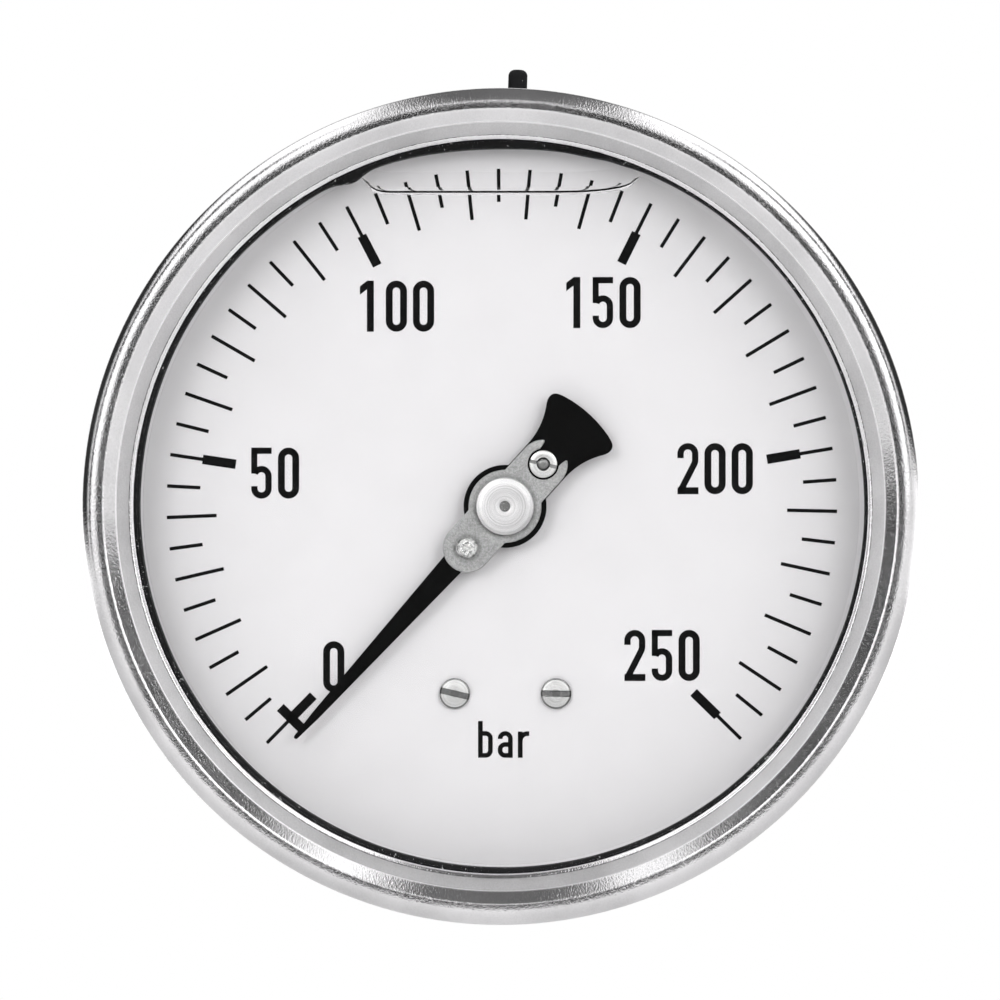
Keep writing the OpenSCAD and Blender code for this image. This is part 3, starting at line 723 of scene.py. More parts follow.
@dataclass(frozen=True)
class RolledSteel(Finish):
    """The bezel's rolled strip: bright and finely pitted on the bead, satin on the lip, with painted
    highlights along two edges.
    """

    colour: Colour = (0.8, 0.79, 0.802)
    bead_gloss: float = 0.12
    lip_gloss: float = 0.4
    lip_tone: float = 0.9
    edge_r: float = 47.45
    lip_ease: float = 0.2
    # Painted highlights: where the thin bright lines at the lip's inner edge and at the crease lie, and how
    # bright they are
    inner_highlight: Pair = (0.28, 0.18)
    crease_highlight: Pair = (0.06, 0.12)
    edge_highlight: float = 0.98
    headroom: float = 1.25
    stain_scale: float = 90.0
    stain_gloss: float = 0.12
    grain_scale: float = 5200.0
    grain_share: float = 0.55
    speck_scale: float = 1900.0
    speck_range: Pair = (0.66, 0.74)
    speck_share: float = 0.12
    worn_range: Pair = (0.25, 0.65)
    worn_tone: float = 0.8
    crest_band: Pair = (50.75, 51.7)
    crest_ease: Pair = (0.2, 0.3)
    beside_crest: Pair = (0.3, 0.4)
    pit_scale: float = 4200.0
    pit_deep: float = 0.045
    streak_scale: float = 4600.0
    streak_stretch: Triple = (1.0, 0.3, 0.55)
    streak_deep: float = 0.015

    def wire(self, nodes: Wiring) -> None:
        """Lay out stains, painted highlight lines at the lip's inner edge and at the crease, pits and a
        change of gloss at the crease.

        Args:
            nodes: The material's node tree.
        """
        place = nodes.about(DIAL_AXIS)
        radius = nodes.radius(DIAL_AXIS)
        crease, edge, ease = CREASE_R * MM, self.edge_r * MM, self.lip_ease * MM
        lip = nodes.sum(
            "MULTIPLY", nodes.span(radius, (crease - ease, crease + ease), True, FALLING),
            nodes.span(radius, (edge, edge + ease), True),
        )
        stains = nodes.cloud(place, self.stain_scale, 4.0)
        gloss = nodes.span(lip, RISING, to=(self.bead_gloss, self.lip_gloss))
        nodes.surface({
            "Base Color": self.tone(nodes, radius, lip, stains), "Metallic": 1.0,
            "Roughness": nodes.sum("ADD", gloss, nodes.swing(stains, self.stain_gloss)),
            "Normal": self.scars(nodes, radius),
        })

    def tone(self, nodes: Wiring, radius: NodeSocket, lip: NodeSocket, stains: NodeSocket) -> NodeSocket:
        """Lay out the strip's colour.

        Args:
            nodes: The material's node tree.
            radius: The distance from the dial's axis.
            lip: How far a place belongs to the lip.
            stains: The slow stains.

        Returns:
            The colour, with painted highlight lines along its two edges.
        """
        place = nodes.about(DIAL_AXIS)
        specks = nodes.span(nodes.cloud(place, self.speck_scale, 4.0, 0.7), self.speck_range)
        grain = nodes.swing(nodes.cloud(place, self.grain_scale, 2.0), self.grain_share)
        worn = nodes.sum(
            "SUBTRACT", nodes.sum("ADD", stains, grain), nodes.sum("MULTIPLY", specks, self.speck_share)
        )
        tone = nodes.sum(
            "MULTIPLY", nodes.span(worn, self.worn_range, to=(self.worn_tone, 1.0)),
            nodes.span(lip, RISING, to=(1.0, self.lip_tone)),
        )
        # Painted highlights: thin bright lines along the lip's inner edge and along the crease
        inner = tuple((self.edge_r - inside) * MM for inside in self.inner_highlight)
        outer = tuple(off * MM for off in self.crease_highlight)
        off_crease = nodes.sum("ABSOLUTE", nodes.sum("SUBTRACT", radius, CREASE_R * MM))
        edges = nodes.sum(
            "MAXIMUM", nodes.span(radius, inner, True, FALLING), nodes.span(off_crease, outer, True, FALLING)
        )
        bright = nodes.sum("MULTIPLY", edges, self.edge_highlight / self.colour[0])
        tone = nodes.sum("MULTIPLY", nodes.sum("MAXIMUM", tone, bright), 1.0 / self.headroom)
        return nodes.tinted(tone, darker(self.colour, self.headroom))

    def scars(self, nodes: Wiring, radius: NodeSocket) -> NodeSocket:
        """Lay out the pits on the crest and the streaks over them.

        Args:
            nodes: The material's node tree.
            radius: The distance from the dial's axis.

        Returns:
            The bent normal.
        """
        low, high = (band * MM for band in self.crest_band)
        before, after = (ease * MM for ease in self.crest_ease)
        crest = nodes.sum(
            "MULTIPLY", nodes.span(radius, (low - before, low), True, (self.beside_crest[0], 1.0)),
            nodes.span(radius, (high, high + after), True, (1.0, self.beside_crest[1])),
        )
        pits = nodes.cloud(nodes.about(DIAL_AXIS), self.pit_scale, 3.0, 0.6)
        streaks = nodes.cloud(nodes.about(DIAL_AXIS, self.streak_stretch), self.streak_scale, 1.0)
        pitted = nodes.relief(nodes.swing(pits, crest), self.pit_deep)
        return nodes.relief(streaks, self.streak_deep, over=pitted)


@dataclass(frozen=True)
class Rubber(Finish):
    """Matt black rubber with a little dust on it."""

    colour: Colour = (0.006, 0.006, 0.0065)
    worn: float = 2.2
    dust: float = 0.55
    dust_scale: float = 2100.0
    dust_range: Pair = (0.79, 0.85)
    patch_scale: float = 160.0
    patch_share: float = 0.25
    skin_scale: float = 700.0
    skin_share: float = 0.2
    skin_deep: float = 0.03
    gloss: Pair = (0.48, 0.7)
    shine: float = 0.12

    def wire(self, nodes: Wiring) -> None:
        """Lay out a dull skin, dust and a soft grain.

        Args:
            nodes: The material's node tree.
        """
        place = nodes.about(DIAL_AXIS)
        skin = nodes.cloud(place, self.skin_scale, 4.0)
        dust = nodes.cloud(place, self.dust_scale, 2.0, 0.8)
        patches = nodes.sum("MULTIPLY", nodes.cloud(place, self.patch_scale, 2.0), self.patch_share)
        specks = nodes.span(nodes.sum("ADD", dust, patches), self.dust_range)
        colour = nodes.shade(
            nodes.sum("ADD", nodes.sum("MULTIPLY", skin, self.skin_share), specks),
            [(0.05, self.colour), (0.2, darker(self.colour, self.worn)), (1.0, (self.dust,) * 3)],
        )
        nodes.surface({
            "Base Color": colour, "Roughness": nodes.span(skin, MOST, to=self.gloss),
            "Specular IOR Level": self.shine, "Normal": nodes.relief(skin, self.skin_deep, 0.6),
        })


@dataclass(frozen=True)
class Lacquer(Finish):
    """A sprayed coat with a slight orange peel and faint mottling."""

    colour: Colour = (0.86, 0.86, 0.86)
    mottle: float = 0.97
    mottle_scale: float = 220.0
    gloss: Pair = (0.38, 0.5)
    shine: float = 0.35
    peel_scale: float = 1500.0
    peel_deep: float = 0.01

    def wire(self, nodes: Wiring) -> None:
        """Lay out the mottling and the peel.

        Args:
            nodes: The material's node tree.
        """
        place = nodes.about(DIAL_AXIS)
        mottling = nodes.cloud(place, self.mottle_scale, 6.0, 0.65)
        peel = nodes.cloud(place, self.peel_scale, 2.0)
        tones = (darker(self.colour, self.mottle), self.colour)
        nodes.surface({
            "Base Color": nodes.shade(mottling, list(zip(MIDDLE, tones))),
            "Roughness": nodes.span(mottling, MOST, to=self.gloss), "Specular IOR Level": self.shine,
            "Normal": nodes.relief(peel, self.peel_deep, 0.5),
        })


@dataclass(frozen=True)
class Clear(Finish):
    """Glass or liquid that bends what lies behind it and lets lamp light through."""

    tint: Colour = (0.985, 0.99, 0.985)
    bend: float = 1.5
    haze: float = 0.985
    haze_scale: float = 60.0
    let_through: Colour = (0.97, 0.97, 0.97)

    def wire(self, nodes: Wiring) -> None:
        """Lay out a clear body, with lamp light passing straight.

        Args:
            nodes: The material's node tree.
        """
        haze = nodes.cloud(nodes.about(DIAL_AXIS), self.haze_scale, 3.0)
        tones = (darker(self.tint, self.haze), self.tint)
        body = nodes.add("ShaderNodeBsdfPrincipled", {
            "Base Color": nodes.shade(haze, list(zip(MOST, tones))), "Roughness": 0.0, "IOR": self.bend,
            "Transmission Weight": 1.0,
        })
        straight = nodes.add("ShaderNodeBsdfTransparent", {"Color": (*self.let_through, 1.0)})
        way = nodes.add("ShaderNodeLightPath")
        lamp = nodes.sum("MAXIMUM", way.outputs["Is Shadow Ray"], way.outputs["Is Diffuse Ray"])
        mixed = nodes.add("ShaderNodeMixShader", {0: lamp, 1: body.outputs[0], 2: straight.outputs[0]})
        nodes.add("ShaderNodeOutputMaterial", {"Surface": mixed.outputs[0]})


CASE_STEEL = Metal(
    "case_satin_steel", (0.68, 0.68, 0.675), dull=0.88, gloss=(0.26, 0.36), grain=Grain.TURNED,
    fine=2600.0, deep=0.004,
)
SOCKET_STEEL = Metal(
    "socket_turned_steel", (0.7, 0.695, 0.685), dull=0.85, gloss=(0.2, 0.32), grain=Grain.TURNED,
    centre=(0.0, 0.0), fine=3200.0, deep=0.006,
)
SCREW_STEEL = Metal(
    "screw_turned_steel", (0.66, 0.66, 0.655), dull=0.7, gloss=(0.24, 0.4), fine=3600.0, deep=0.012
)
BRASS = Metal("movement_brass", (0.8, 0.62, 0.3), dull=0.78, gloss=(0.2, 0.34), fine=2200.0, deep=0.008)
TUBE_BRONZE = Metal(
    "tube_dull_bronze", (0.66, 0.44, 0.24), dull=0.62, gloss=(0.3, 0.48), grain=Grain.DRAWN, fine=2400.0,
    deep=0.008,
)
SPRING_STEEL = Metal(
    "hairspring_blued_steel", (0.3, 0.34, 0.46), dull=0.7, gloss=(0.18, 0.3), centre=MOVEMENT_AXIS,
    fine=2600.0, deep=0.004,
)
ARBOR_STEEL = Metal(
    "arbor_polished_steel", (0.72, 0.72, 0.72), dull=0.88, gloss=(0.14, 0.24), grain=Grain.TURNED,
    centre=MOVEMENT_AXIS, fine=4000.0, deep=0.003,
)
# The hub's tones paint shade into the bore round the arbor's end and a faint highlight on its rounded rim
HUB_SILVER = TurnedHead(
    "hub_turned_silver", (0.91, 0.9, 0.91), (MOVEMENT_AXIS,),
    tones=((0.0, 0.3), (0.66, 0.3), (0.74, 0.95), (1.5, 0.95), (3.4, 0.93), (3.56, 1.0), (HUB_R, 0.95)),
    gloss=(0.3, 0.4), fine=6200.0, ring_tones=(0.66, 1.03),
)
# The rivet's hammer dents are painted darker, as shade in their hollows
RIVET_SILVER = TurnedHead(
    "rivet_hammered_silver", (0.8, 0.8, 0.795), (along_pointer(RIVET_U),),
    tones=((0.0, 1.0), (0.9, 0.95), (1.0, 0.75), (1.12, 1.0), (1.22, 0.74), (RIVET_R, 0.95)),
    gloss=(0.24, 0.36), fine=4200.0, deep=0.03, dent_deep=0.2, dent_shade=0.42,
)
# The setting screw's tones keep the domed middle dark and paint shade into the groove round the dome; all
# that lies behind the ring's face, the slot with it, is painted darker as shade
SETTING_STEEL = TurnedHead(
    "setting_screw_steel", (0.83, 0.83, 0.825), (along_pointer(SETTING_U),),
    tones=(
        (0.0, 0.36), (0.4, 0.32), (0.74, 0.2), (0.82, 0.3), (0.88, 1.0), (1.2, 0.9), (1.35, 1.0),
        (1.7, 0.96), (1.8, 0.75),
    ),
    gloss=(0.28, 0.38), fine=4600.0, deep=0.018, slot_floor=9.66, slot_shade=0.4,
)
# The dial screws' tones paint ring highlights on the heads and a dark outline at their rims; the slots and
# the heads' sides, behind a depth, are painted darker as shade
DIAL_SCREW_STEEL = TurnedHead(
    "dial_screw_steel", (0.72, 0.72, 0.715), DIAL_SCREWS,
    tones=(
        (0.0, 0.8), (0.5, 0.72), (0.7, 1.0), (0.95, 0.8), (1.25, 0.95), (1.5, 0.82), (1.7, 0.95),
        (1.78, 0.34), (1.97, 0.26),
    ),
    gloss=(0.34, 0.46), fine=3600.0, deep=0.05, dent_deep=0.03, slot_floor=12.85, slot_shade=0.3,
)
PLATE_SILVER = StampedPlate(
    "pointer_plate_silver", (0.46, 0.46, 0.46),
    seats=((MOVEMENT_AXIS, HUB_R), (along_pointer(RIVET_U), RIVET_R)),
)
BEZEL_STEEL = RolledSteel("bezel_rolled_steel")
BLACK_RUBBER = Rubber("seal_black_rubber")
DIAL_LACQUER = Lacquer("dial_white_lacquer", (0.86, 0.847, 0.865))
DIAL_INK = Lacquer(
    "dial_black_ink", (0.003, 0.003, 0.0032), mottle=0.6, gloss=(0.45, 0.6), shine=0.03, peel_deep=0.004
)
POINTER_LACQUER = Lacquer(
    "pointer_black_lacquer", (0.0015, 0.0015, 0.0015), mottle=0.6, gloss=(0.4, 0.55), shine=0.012
)
FLOOR_CARD = Lacquer("floor_pale_card", (0.75, 0.75, 0.75), mottle=0.99, gloss=(0.7, 0.8))
PANE_GLASS = Clear("window_clear_glass", (0.992, 0.993, 0.993), 1.5)
FILLING_LIQUID = Clear("filling_clear_liquid", (0.992, 0.992, 0.99), 1.47)


# Sub-assemblies


@dataclass
class Bezel:
    """The rolled ring that holds the window: a bead, a slope, a step down to the lip and a crimp behind."""

    outer_r: float = 53.5
    bead_r: float = 2.175
    crest_flat: float = 0.34
    crest_r: float = 0.85
    slope: float = 34.0
    slope_foot: float = 0.1
    step_deep: float = 1.72
    step_lean: Pair = (0.04, 0.05)
    step_break: float = 0.07
    step_fillet: Pair = (0.12, 0.02)
    lip_r: float = 47.0
    lip_front: float = 1.95
    lip_back: float = 2.96
    lip_round: float = 0.55
    lip_break: float = 0.06
    wall: float = 0.8
    wall_corner: Pair = (0.15, 0.14)
    heel_round: float = 0.7
    crimp_r: float = 50.6
    crimp_front: float = 10.775
    crimp_back: float = 11.575
    crimp_round: float = 0.35
    crimp_inset: float = 0.36
    flats: int = 288

    def profile(self) -> list[Pair]:
        """Give the ring's section, once round.

        Returns:
            The points, as radius and depth.
        """
        middle = self.outer_r - self.bead_r
        skirt_r = self.outer_r - self.wall
        heel, curl, lip = self.heel_round, self.crimp_round, self.lip_round
        rise = math.tan(math.radians(self.slope))
        foot_r = middle - self.crest_flat - self.crest_r * math.sin(math.radians(self.slope))
        foot = self.crest_r * (1.0 - math.cos(math.radians(self.slope)))
        crease = foot + (foot_r - CREASE_R) * rise
        crest = (middle - self.crest_flat, self.crest_r)
        return [
            (CREASE_R - self.step_lean[1], self.step_deep),
            (CREASE_R - self.step_lean[0], crease + self.step_break),
            (CREASE_R, crease),
            (foot_r - self.slope_foot, foot + self.slope_foot * rise),
            *arc_points(crest, self.crest_r, 270.0 - self.slope, 268.0, 10),
            *arc_points((middle, self.bead_r), self.bead_r, 270.0, 360.0, 22),
            *arc_points((self.outer_r - heel, self.crimp_back - heel), heel, 0.0, 90.0, 6),
            *arc_points((self.crimp_r + curl, self.crimp_back - self.crimp_inset), curl, 90.0, 270.0, 8),
            (skirt_r, self.crimp_front),
            (skirt_r, self.lip_back + self.wall_corner[1]),
            (skirt_r - self.wall_corner[0], self.lip_back),
            (self.lip_r + self.lip_break, self.lip_back),
            (self.lip_r, self.lip_back - self.lip_break),
            *arc_points((self.lip_r + lip, self.lip_front + lip), lip, 180.0, 263.0, 10),
            (CREASE_R - self.step_fillet[0], self.step_deep + self.step_fillet[1]),
        ]

    def build(self) -> None:
        """Turn the ring and dress it."""
        ring = turned(self.profile(), on_axis(), self.flats, closed=True)
        keep(ring, BEZEL_NAME, BEZEL_STEEL, Body.CASE, ["bezel_ring"])


@dataclass(frozen=True)
class Sag:
    """A stretch where the rubber ring is pushed into view."""

    bearing: float
    deep: float
    wide: float

    def at(self, bearing: float) -> float:
        """Give how far the ring comes in at a bearing, in degrees."""
        return self.deep * math.exp(-(((bearing - self.bearing) / self.wide) ** 2) / 2)


@dataclass
class Window:
    """The pane, the rubber ring behind it and the liquid that fills the case."""

    pane_r: float = 52.0
    pane_front: float = 2.985
    pane_back: float = 6.965
    pane_break: float = 0.25
    pane_flats: int = 160
    gasket_in_r: float = 46.4
    gasket_out_r: float = 52.2
    gasket_front: float = 6.98
    gasket_back: float = 9.97
    gasket_round: float = 0.35
    gasket_break: float = 0.3
    gasket_side: float = 0.7
    gasket_flats: int = 480
    squeeze: Triple = (0.2, 0.12, 0.15)
    squeeze_reach: float = 1.5
    wander: float = 0.05
    wander_scale: float = 6.0
    sags: tuple[Sag, ...] = (
        Sag(91.0, 0.78, 12.0), Sag(114.5, 0.85, 1.7), Sag(76.0, 0.12, 2.0), Sag(70.0, 0.1, 1.4)
    )
    liquid_front: float = 6.99
    liquid_back: float = 8.5
    liquid_r: float = 46.0
    level: float = 41.0
    level_flats: Pair = (13.5, 5.0)
    level_bends: Pair = (3.0, 3.5)
    level_steps: int = 56
    rim_steps: int = 200
    rim_weld: float = 0.02
    bubble_rise: float = 1.35
    bubble_from: float = 30.0
    bubble_taper: float = 1.5
    hollow: tuple[Pair, ...] = (
        (0.0, 0.0), (0.03, -0.17), (0.06, -0.31), (0.097, -0.45), (0.14, -0.515), (0.19, -0.575),
        (0.25, -0.63), (0.3, -0.665), (0.42, -0.73), (0.54, -0.795), (0.66, -0.86), (0.77, -0.92),
        (0.84, -0.955), (0.88, -0.93), (0.91, -0.7), (0.935, -0.2), (0.965, 0.7), (1.0, 2.0),
    )
    hollow_sharp: float = 50.0

    def build(self) -> None:
        """Build the pane, the ring and the liquid.

        The liquid comes last, because it is seen through both.
        """
        self.build_pane()
        self.build_gasket()
        self.build_liquid()

    def build_pane(self) -> None:
        """Grind the pane: a disc with its edges broken."""
        pane = bmesh.new()
        bmesh.ops.create_circle(pane, cap_ends=True, segments=self.pane_flats, radius=self.pane_r)
        bmesh.ops.translate(pane, verts=pane.verts[:], vec=(0, 0, self.pane_front))
        thicken(pane, self.pane_back - self.pane_front)
        soften(placed(pane, on_axis()), self.pane_break)
        keep(pane, "window_pane", PANE_GLASS, Body.CASE, ["window_glass"])

    def build_gasket(self) -> None:
        """Turn the rubber ring and let its inner edge wander where the pane squeezes it."""
        mid = (self.gasket_front + self.gasket_back) / 2
        half = (self.gasket_back - self.gasket_front) / 2
        fillet = self.gasket_round
        profile = [
            (self.gasket_in_r, mid + half * self.gasket_side),
            *arc_points((self.gasket_in_r + fillet, self.gasket_front + fillet), fillet, 180.0, 270.0, 5),
            (self.gasket_out_r, self.gasket_front),
            (self.gasket_out_r, self.gasket_back),
            (self.gasket_in_r + self.gasket_break, self.gasket_back),
        ]
        ring = turned(profile, on_axis(), self.gasket_flats, closed=True)
        for vert in ring.verts:
            across, up = vert.co.x, vert.co.z - AXIS_UP * MM
            radius = math.hypot(across, up)
            share = max(0.0, 1.0 - (radius / MM - self.gasket_in_r) / self.squeeze_reach)
            if share > 0.0:
                way = Vector((across, 0.0, up)) / radius
                bearing = math.degrees(math.atan2(up, across))
                push = self.squeeze[0] + self.squeeze[1] * way.x + self.squeeze[2] * way.z
                push += self.wander * noise.noise(way * self.wander_scale)
                push -= sum(sag.at(bearing) for sag in self.sags)
                vert.co += way * push * MM * share
        keep(ring, "window_rubber_ring", BLACK_RUBBER, Body.CASE, ["window_gasket"])

    def level_at(self, x: float) -> float:
        """Give the liquid's height over the dial's axis.

        Args:
            x: How far right of the dial's axis.

        Returns:
            The height there.
        """
        right = int(x >= 0.0)
        flat, bend = self.level_flats[right], self.level_bends[right]
        past = max(0.0, abs(x) - flat) / (self.bubble_half() - flat)
        return self.level + self.bubble_rise * past**bend

    def bubble_half(self) -> float:
        """Give half the length of the bubble's lower edge."""
        return math.sqrt(self.liquid_r**2 - (self.level + self.bubble_rise) ** 2)

    def build_liquid(self) -> None:
        """Shape the liquid in front of the dial, with its hollow upper edge under the bubble."""
        liquid = bmesh.new()
        reach = self.bubble_half()
        steps = self.level_steps
        line = [liquid.verts.new((-reach + 2 * reach * i / steps, 0.0, 0.0)) for i in range(steps + 1)]
        for vert in line:
            vert.co.y = -self.level_at(vert.co.x)
        for pair in zip(line, line[1:]):
            liquid.edges.new(pair)
        bmesh.ops.spin(
            liquid, geom=[line[-1]], cent=(0, 0, 0), axis=(0, 0, 1), steps=self.rim_steps, use_merge=False,
            angle=math.tau - 2 * math.atan2(reach, self.level_at(reach)),
        )
        bmesh.ops.remove_doubles(liquid, verts=liquid.verts[:], dist=self.rim_weld)
        bmesh.ops.translate(liquid, verts=liquid.verts[:], vec=(0, 0, self.liquid_front))
        rim = liquid.edges[:]
        bmesh.ops.triangle_fill(liquid, edges=rim, use_beauty=True)
        deep = self.liquid_back - self.liquid_front
        for (before, high), (share, higher) in zip(self.hollow, self.hollow[1:]):
            drawn = bmesh.ops.extrude_edge_only(liquid, edges=rim)["geom"]
            rim = edges_in(drawn)
            for vert in verts_in(drawn):
                vert.co.z += deep * (share - before)
                if abs(vert.co.x) < reach and vert.co.y < -self.bubble_from:
                    eased = min(1.0, (reach - abs(vert.co.x)) / self.bubble_taper)
                    vert.co.y -= (higher - high) * eased
        bmesh.ops.triangle_fill(liquid, edges=rim, use_beauty=True)
        keep(
            placed(liquid, on_axis()), "filling_layer", FILLING_LIQUID, Body.CASE,
            ["filling_liquid"], self.hollow_sharp,
        )


@dataclass(frozen=True)
class SlottedScrew:
    """A screw with a round head and a sawn slot, seen from its head's side."""

    head_r: float
    head_front: float
    head_back: float
    shank_r: float
    shank_end: float
    slot_w: float
    slot_deep: float
    crown: float
    brim: float = 0.16
    brim_dip: float = 0.02
    brim_edge: float = 0.04
    shank_break: float = 0.25
    saw_over: float = 1.0
    slot_break: float = 0.035
    flats: int = 64

    def build(self, place: Matrix, bearing: float) -> BMesh:
        """Turn the screw and saw its slot.

        Args:
            place: The screw's axis.
            bearing: How far the slot turns counter-clockwise, seen from the front, in degrees.

        Returns:
            The screw.
        """
        back = 1.0 if self.shank_end > self.head_front else -1.0
        head = [
            (0.0, 0.0), (self.head_r * 0.45, self.crown * 0.2), (self.head_r * 0.8, self.crown * 0.75),
            (self.head_r - self.brim, self.crown + self.brim_dip),
            (self.head_r - self.brim_edge, self.crown + self.brim * 0.4),
            (self.head_r, self.crown + self.brim * 1.2),
        ]
        profile = [
            *((radius, self.head_front + deep * back) for radius, deep in head),
            (self.head_r, self.head_back), (self.shank_r, self.head_back),
            (self.shank_r, self.shank_end - self.shank_break * back),
            (self.shank_r - self.shank_break, self.shank_end), (0.0, self.shank_end),
        ]
        turn = place @ Matrix.Rotation(-math.radians(bearing), 4, "Z")
        middle = self.head_front + back * (self.slot_deep - self.saw_over) / 2
        saw = (3 * self.head_r, self.slot_w, self.slot_deep + self.saw_over)
        slot = block(saw, turn @ Matrix.Translation((0, 0, middle)))
        return soften(cut_away(turned(profile, place, self.flats), slot), self.slot_break, 50.0, 1)


@dataclass
class Case:
    """The drawn steel case, its vent plug and the screws in its back."""

    plug_round: float = 0.25
    screw: SlottedScrew = SlottedScrew(
        head_r=2.7, head_front=51.3, head_back=49.5, shank_r=1.45, shank_end=44.3, slot_w=0.8, slot_deep=0.9,
        crown=0.4,
    )
    screw_circle: float = 15.8
    screw_bearings: Triple = (90.0, 210.0, 330.0)
    slot_bearings: Triple = (20.0, 75.0, 130.0)

    def build(self) -> None:
        """Dress the case and build what sits in it."""
        dress_node("case_shell", CASE_STEEL)
        plug = soften(node_copy("vent_plug"), self.plug_round, 40.0, 3)
        keep(plug, "vent_rubber_plug", BLACK_RUBBER, Body.CASE, ["vent_plug"], 32.0)
        screws = []
        for bearing, slot in zip(self.screw_bearings, self.slot_bearings):
            way = math.radians(bearing)
            seat = on_axis(self.screw_circle * math.cos(way), self.screw_circle * math.sin(way))
            screws.append(self.screw.build(seat, slot))
        keep(joined(screws), "case_back_screws", SCREW_STEEL, Body.CASE, ["case_screws"])


@dataclass
class Socket:
    """The pressure socket with its threaded stem, its seal and the throttle in its bore."""

    pitch: float = 1.814
    crest_r: float = 10.4775
    root_r: float = 9.32
    root_half: float = 0.13
    flank: float = 27.5
    thread_start: float = 62.0
    thread_end: float = 81.4
    cut_over: float = 0.3
    steps_a_turn: int = 44
    edge_round: float = 0.18

    def groove(self) -> BMesh:
        """Wind the thread's groove as a cutter.

        Returns:
            The closed cutter.
        """
        cutter = bmesh.new()
        top_r = self.crest_r + self.cut_over
        top_half = self.root_half + (top_r - self.root_r) * math.tan(math.radians(self.flank))
        section = [
            (self.root_r, -self.root_half), (top_r, -top_half), (top_r, top_half),
            (self.root_r, self.root_half),
        ]
        corners = [cutter.verts.new((radius, 0.0, self.thread_start + rise)) for radius, rise in section]
        line = [cutter.edges.new(pair) for pair in zip(corners, [*corners[1:], corners[0]])]
        turns = (self.thread_end - self.thread_start) / self.pitch
        steps = int(turns * self.steps_a_turn)
        bmesh.ops.spin(
            cutter, geom=corners + line, cent=(0, 0, 0), axis=(0, 0, 1), angle=math.tau * turns,
            dvec=(0, 0, self.pitch * turns / steps), steps=steps, use_merge=False,
        )
        ends = [edge for edge in cutter.edges if edge.is_boundary]
        bmesh.ops.holes_fill(cutter, edges=ends, sides=4)
        return placed(cutter, on_axis(0.0, 0.0))

    def build(self) -> None:
        """Cut the thread, round the edges and dress the rest."""
        socket = cut_away(soften(node_copy("pressure_socket"), self.edge_round, 40.0), self.groove())
        keep(
            socket, "socket_threaded_stem", SOCKET_STEEL, Body.CASE, ["pressure_socket"]
        )
        dress_node("restrictor_screw", SCREW_STEEL)
        dress_node("socket_seal", BLACK_RUBBER)


@dataclass
class Pen:
    """A flat nib that draws a stroke as a strip of faces, in the plane of the dial."""

    shape: BMesh
    width: float
    edge: BMEdge | None = None
    at: Vector = field(default_factory=lambda: Vector((0.0, 0.0)))
    heading: float = 0.0

    def left(self) -> Vector:
        """Give the way to the left of where the nib goes."""
        return Vector((-math.sin(self.heading), math.cos(self.heading)))

    def down(self, x: float, y: float, heading: float) -> "Pen":
        """Set the nib down.

        Args:
            x: How far right it lies.
            y: How far up it lies.
            heading: Where it will go, counter-clockwise from the right, in degrees.

        Returns:
            The pen.
        """
        self.at, self.heading = Vector((x, y)), math.radians(heading)
        side = self.left() * self.width / 2
        ends = [self.shape.verts.new((*(self.at + way), 0.0)) for way in (side, -side)]
        self.edge = self.shape.edges.new(ends)
        return self

    def slide(self, step: Vector) -> "Pen":
        """Draw a straight stroke without turning the nib.

        Args:
            step: How far right and up it goes.

        Returns:
            The pen.
        """
        drawn = bmesh.ops.extrude_edge_only(self.shape, edges=[self.edge])["geom"]
        bmesh.ops.translate(self.shape, verts=verts_in(drawn), vec=(*step, 0.0))
        self.edge = edges_in(drawn)[0]
        self.at += step
        return self

    def line(self, length: float) -> "Pen":
        """Draw straight on for a length."""
        return self.slide(Vector((math.cos(self.heading), math.sin(self.heading))) * length)

    def arc(self, radius: float, turn: float) -> "Pen":
        """Draw a bend.

        Args:
            radius: The radius of the stroke's middle.
            turn: How far it bends, counter-clockwise, in degrees.

        Returns:
            The pen.
        """
        bend = math.radians(turn)
        centre = self.at + self.left() * math.copysign(radius, bend)
        spun = bmesh.ops.spin(
            self.shape, geom=[*self.edge.verts, self.edge], cent=(*centre, 0.0), axis=(0, 0, 1), angle=bend,
            steps=max(3, round(abs(turn) / 10)), use_merge=False,
        )["geom_last"]
        self.edge = edges_in(spun)[0]
        self.at = centre + Matrix.Rotation(bend, 2) @ (self.at - centre)
        self.heading += bend
        return self


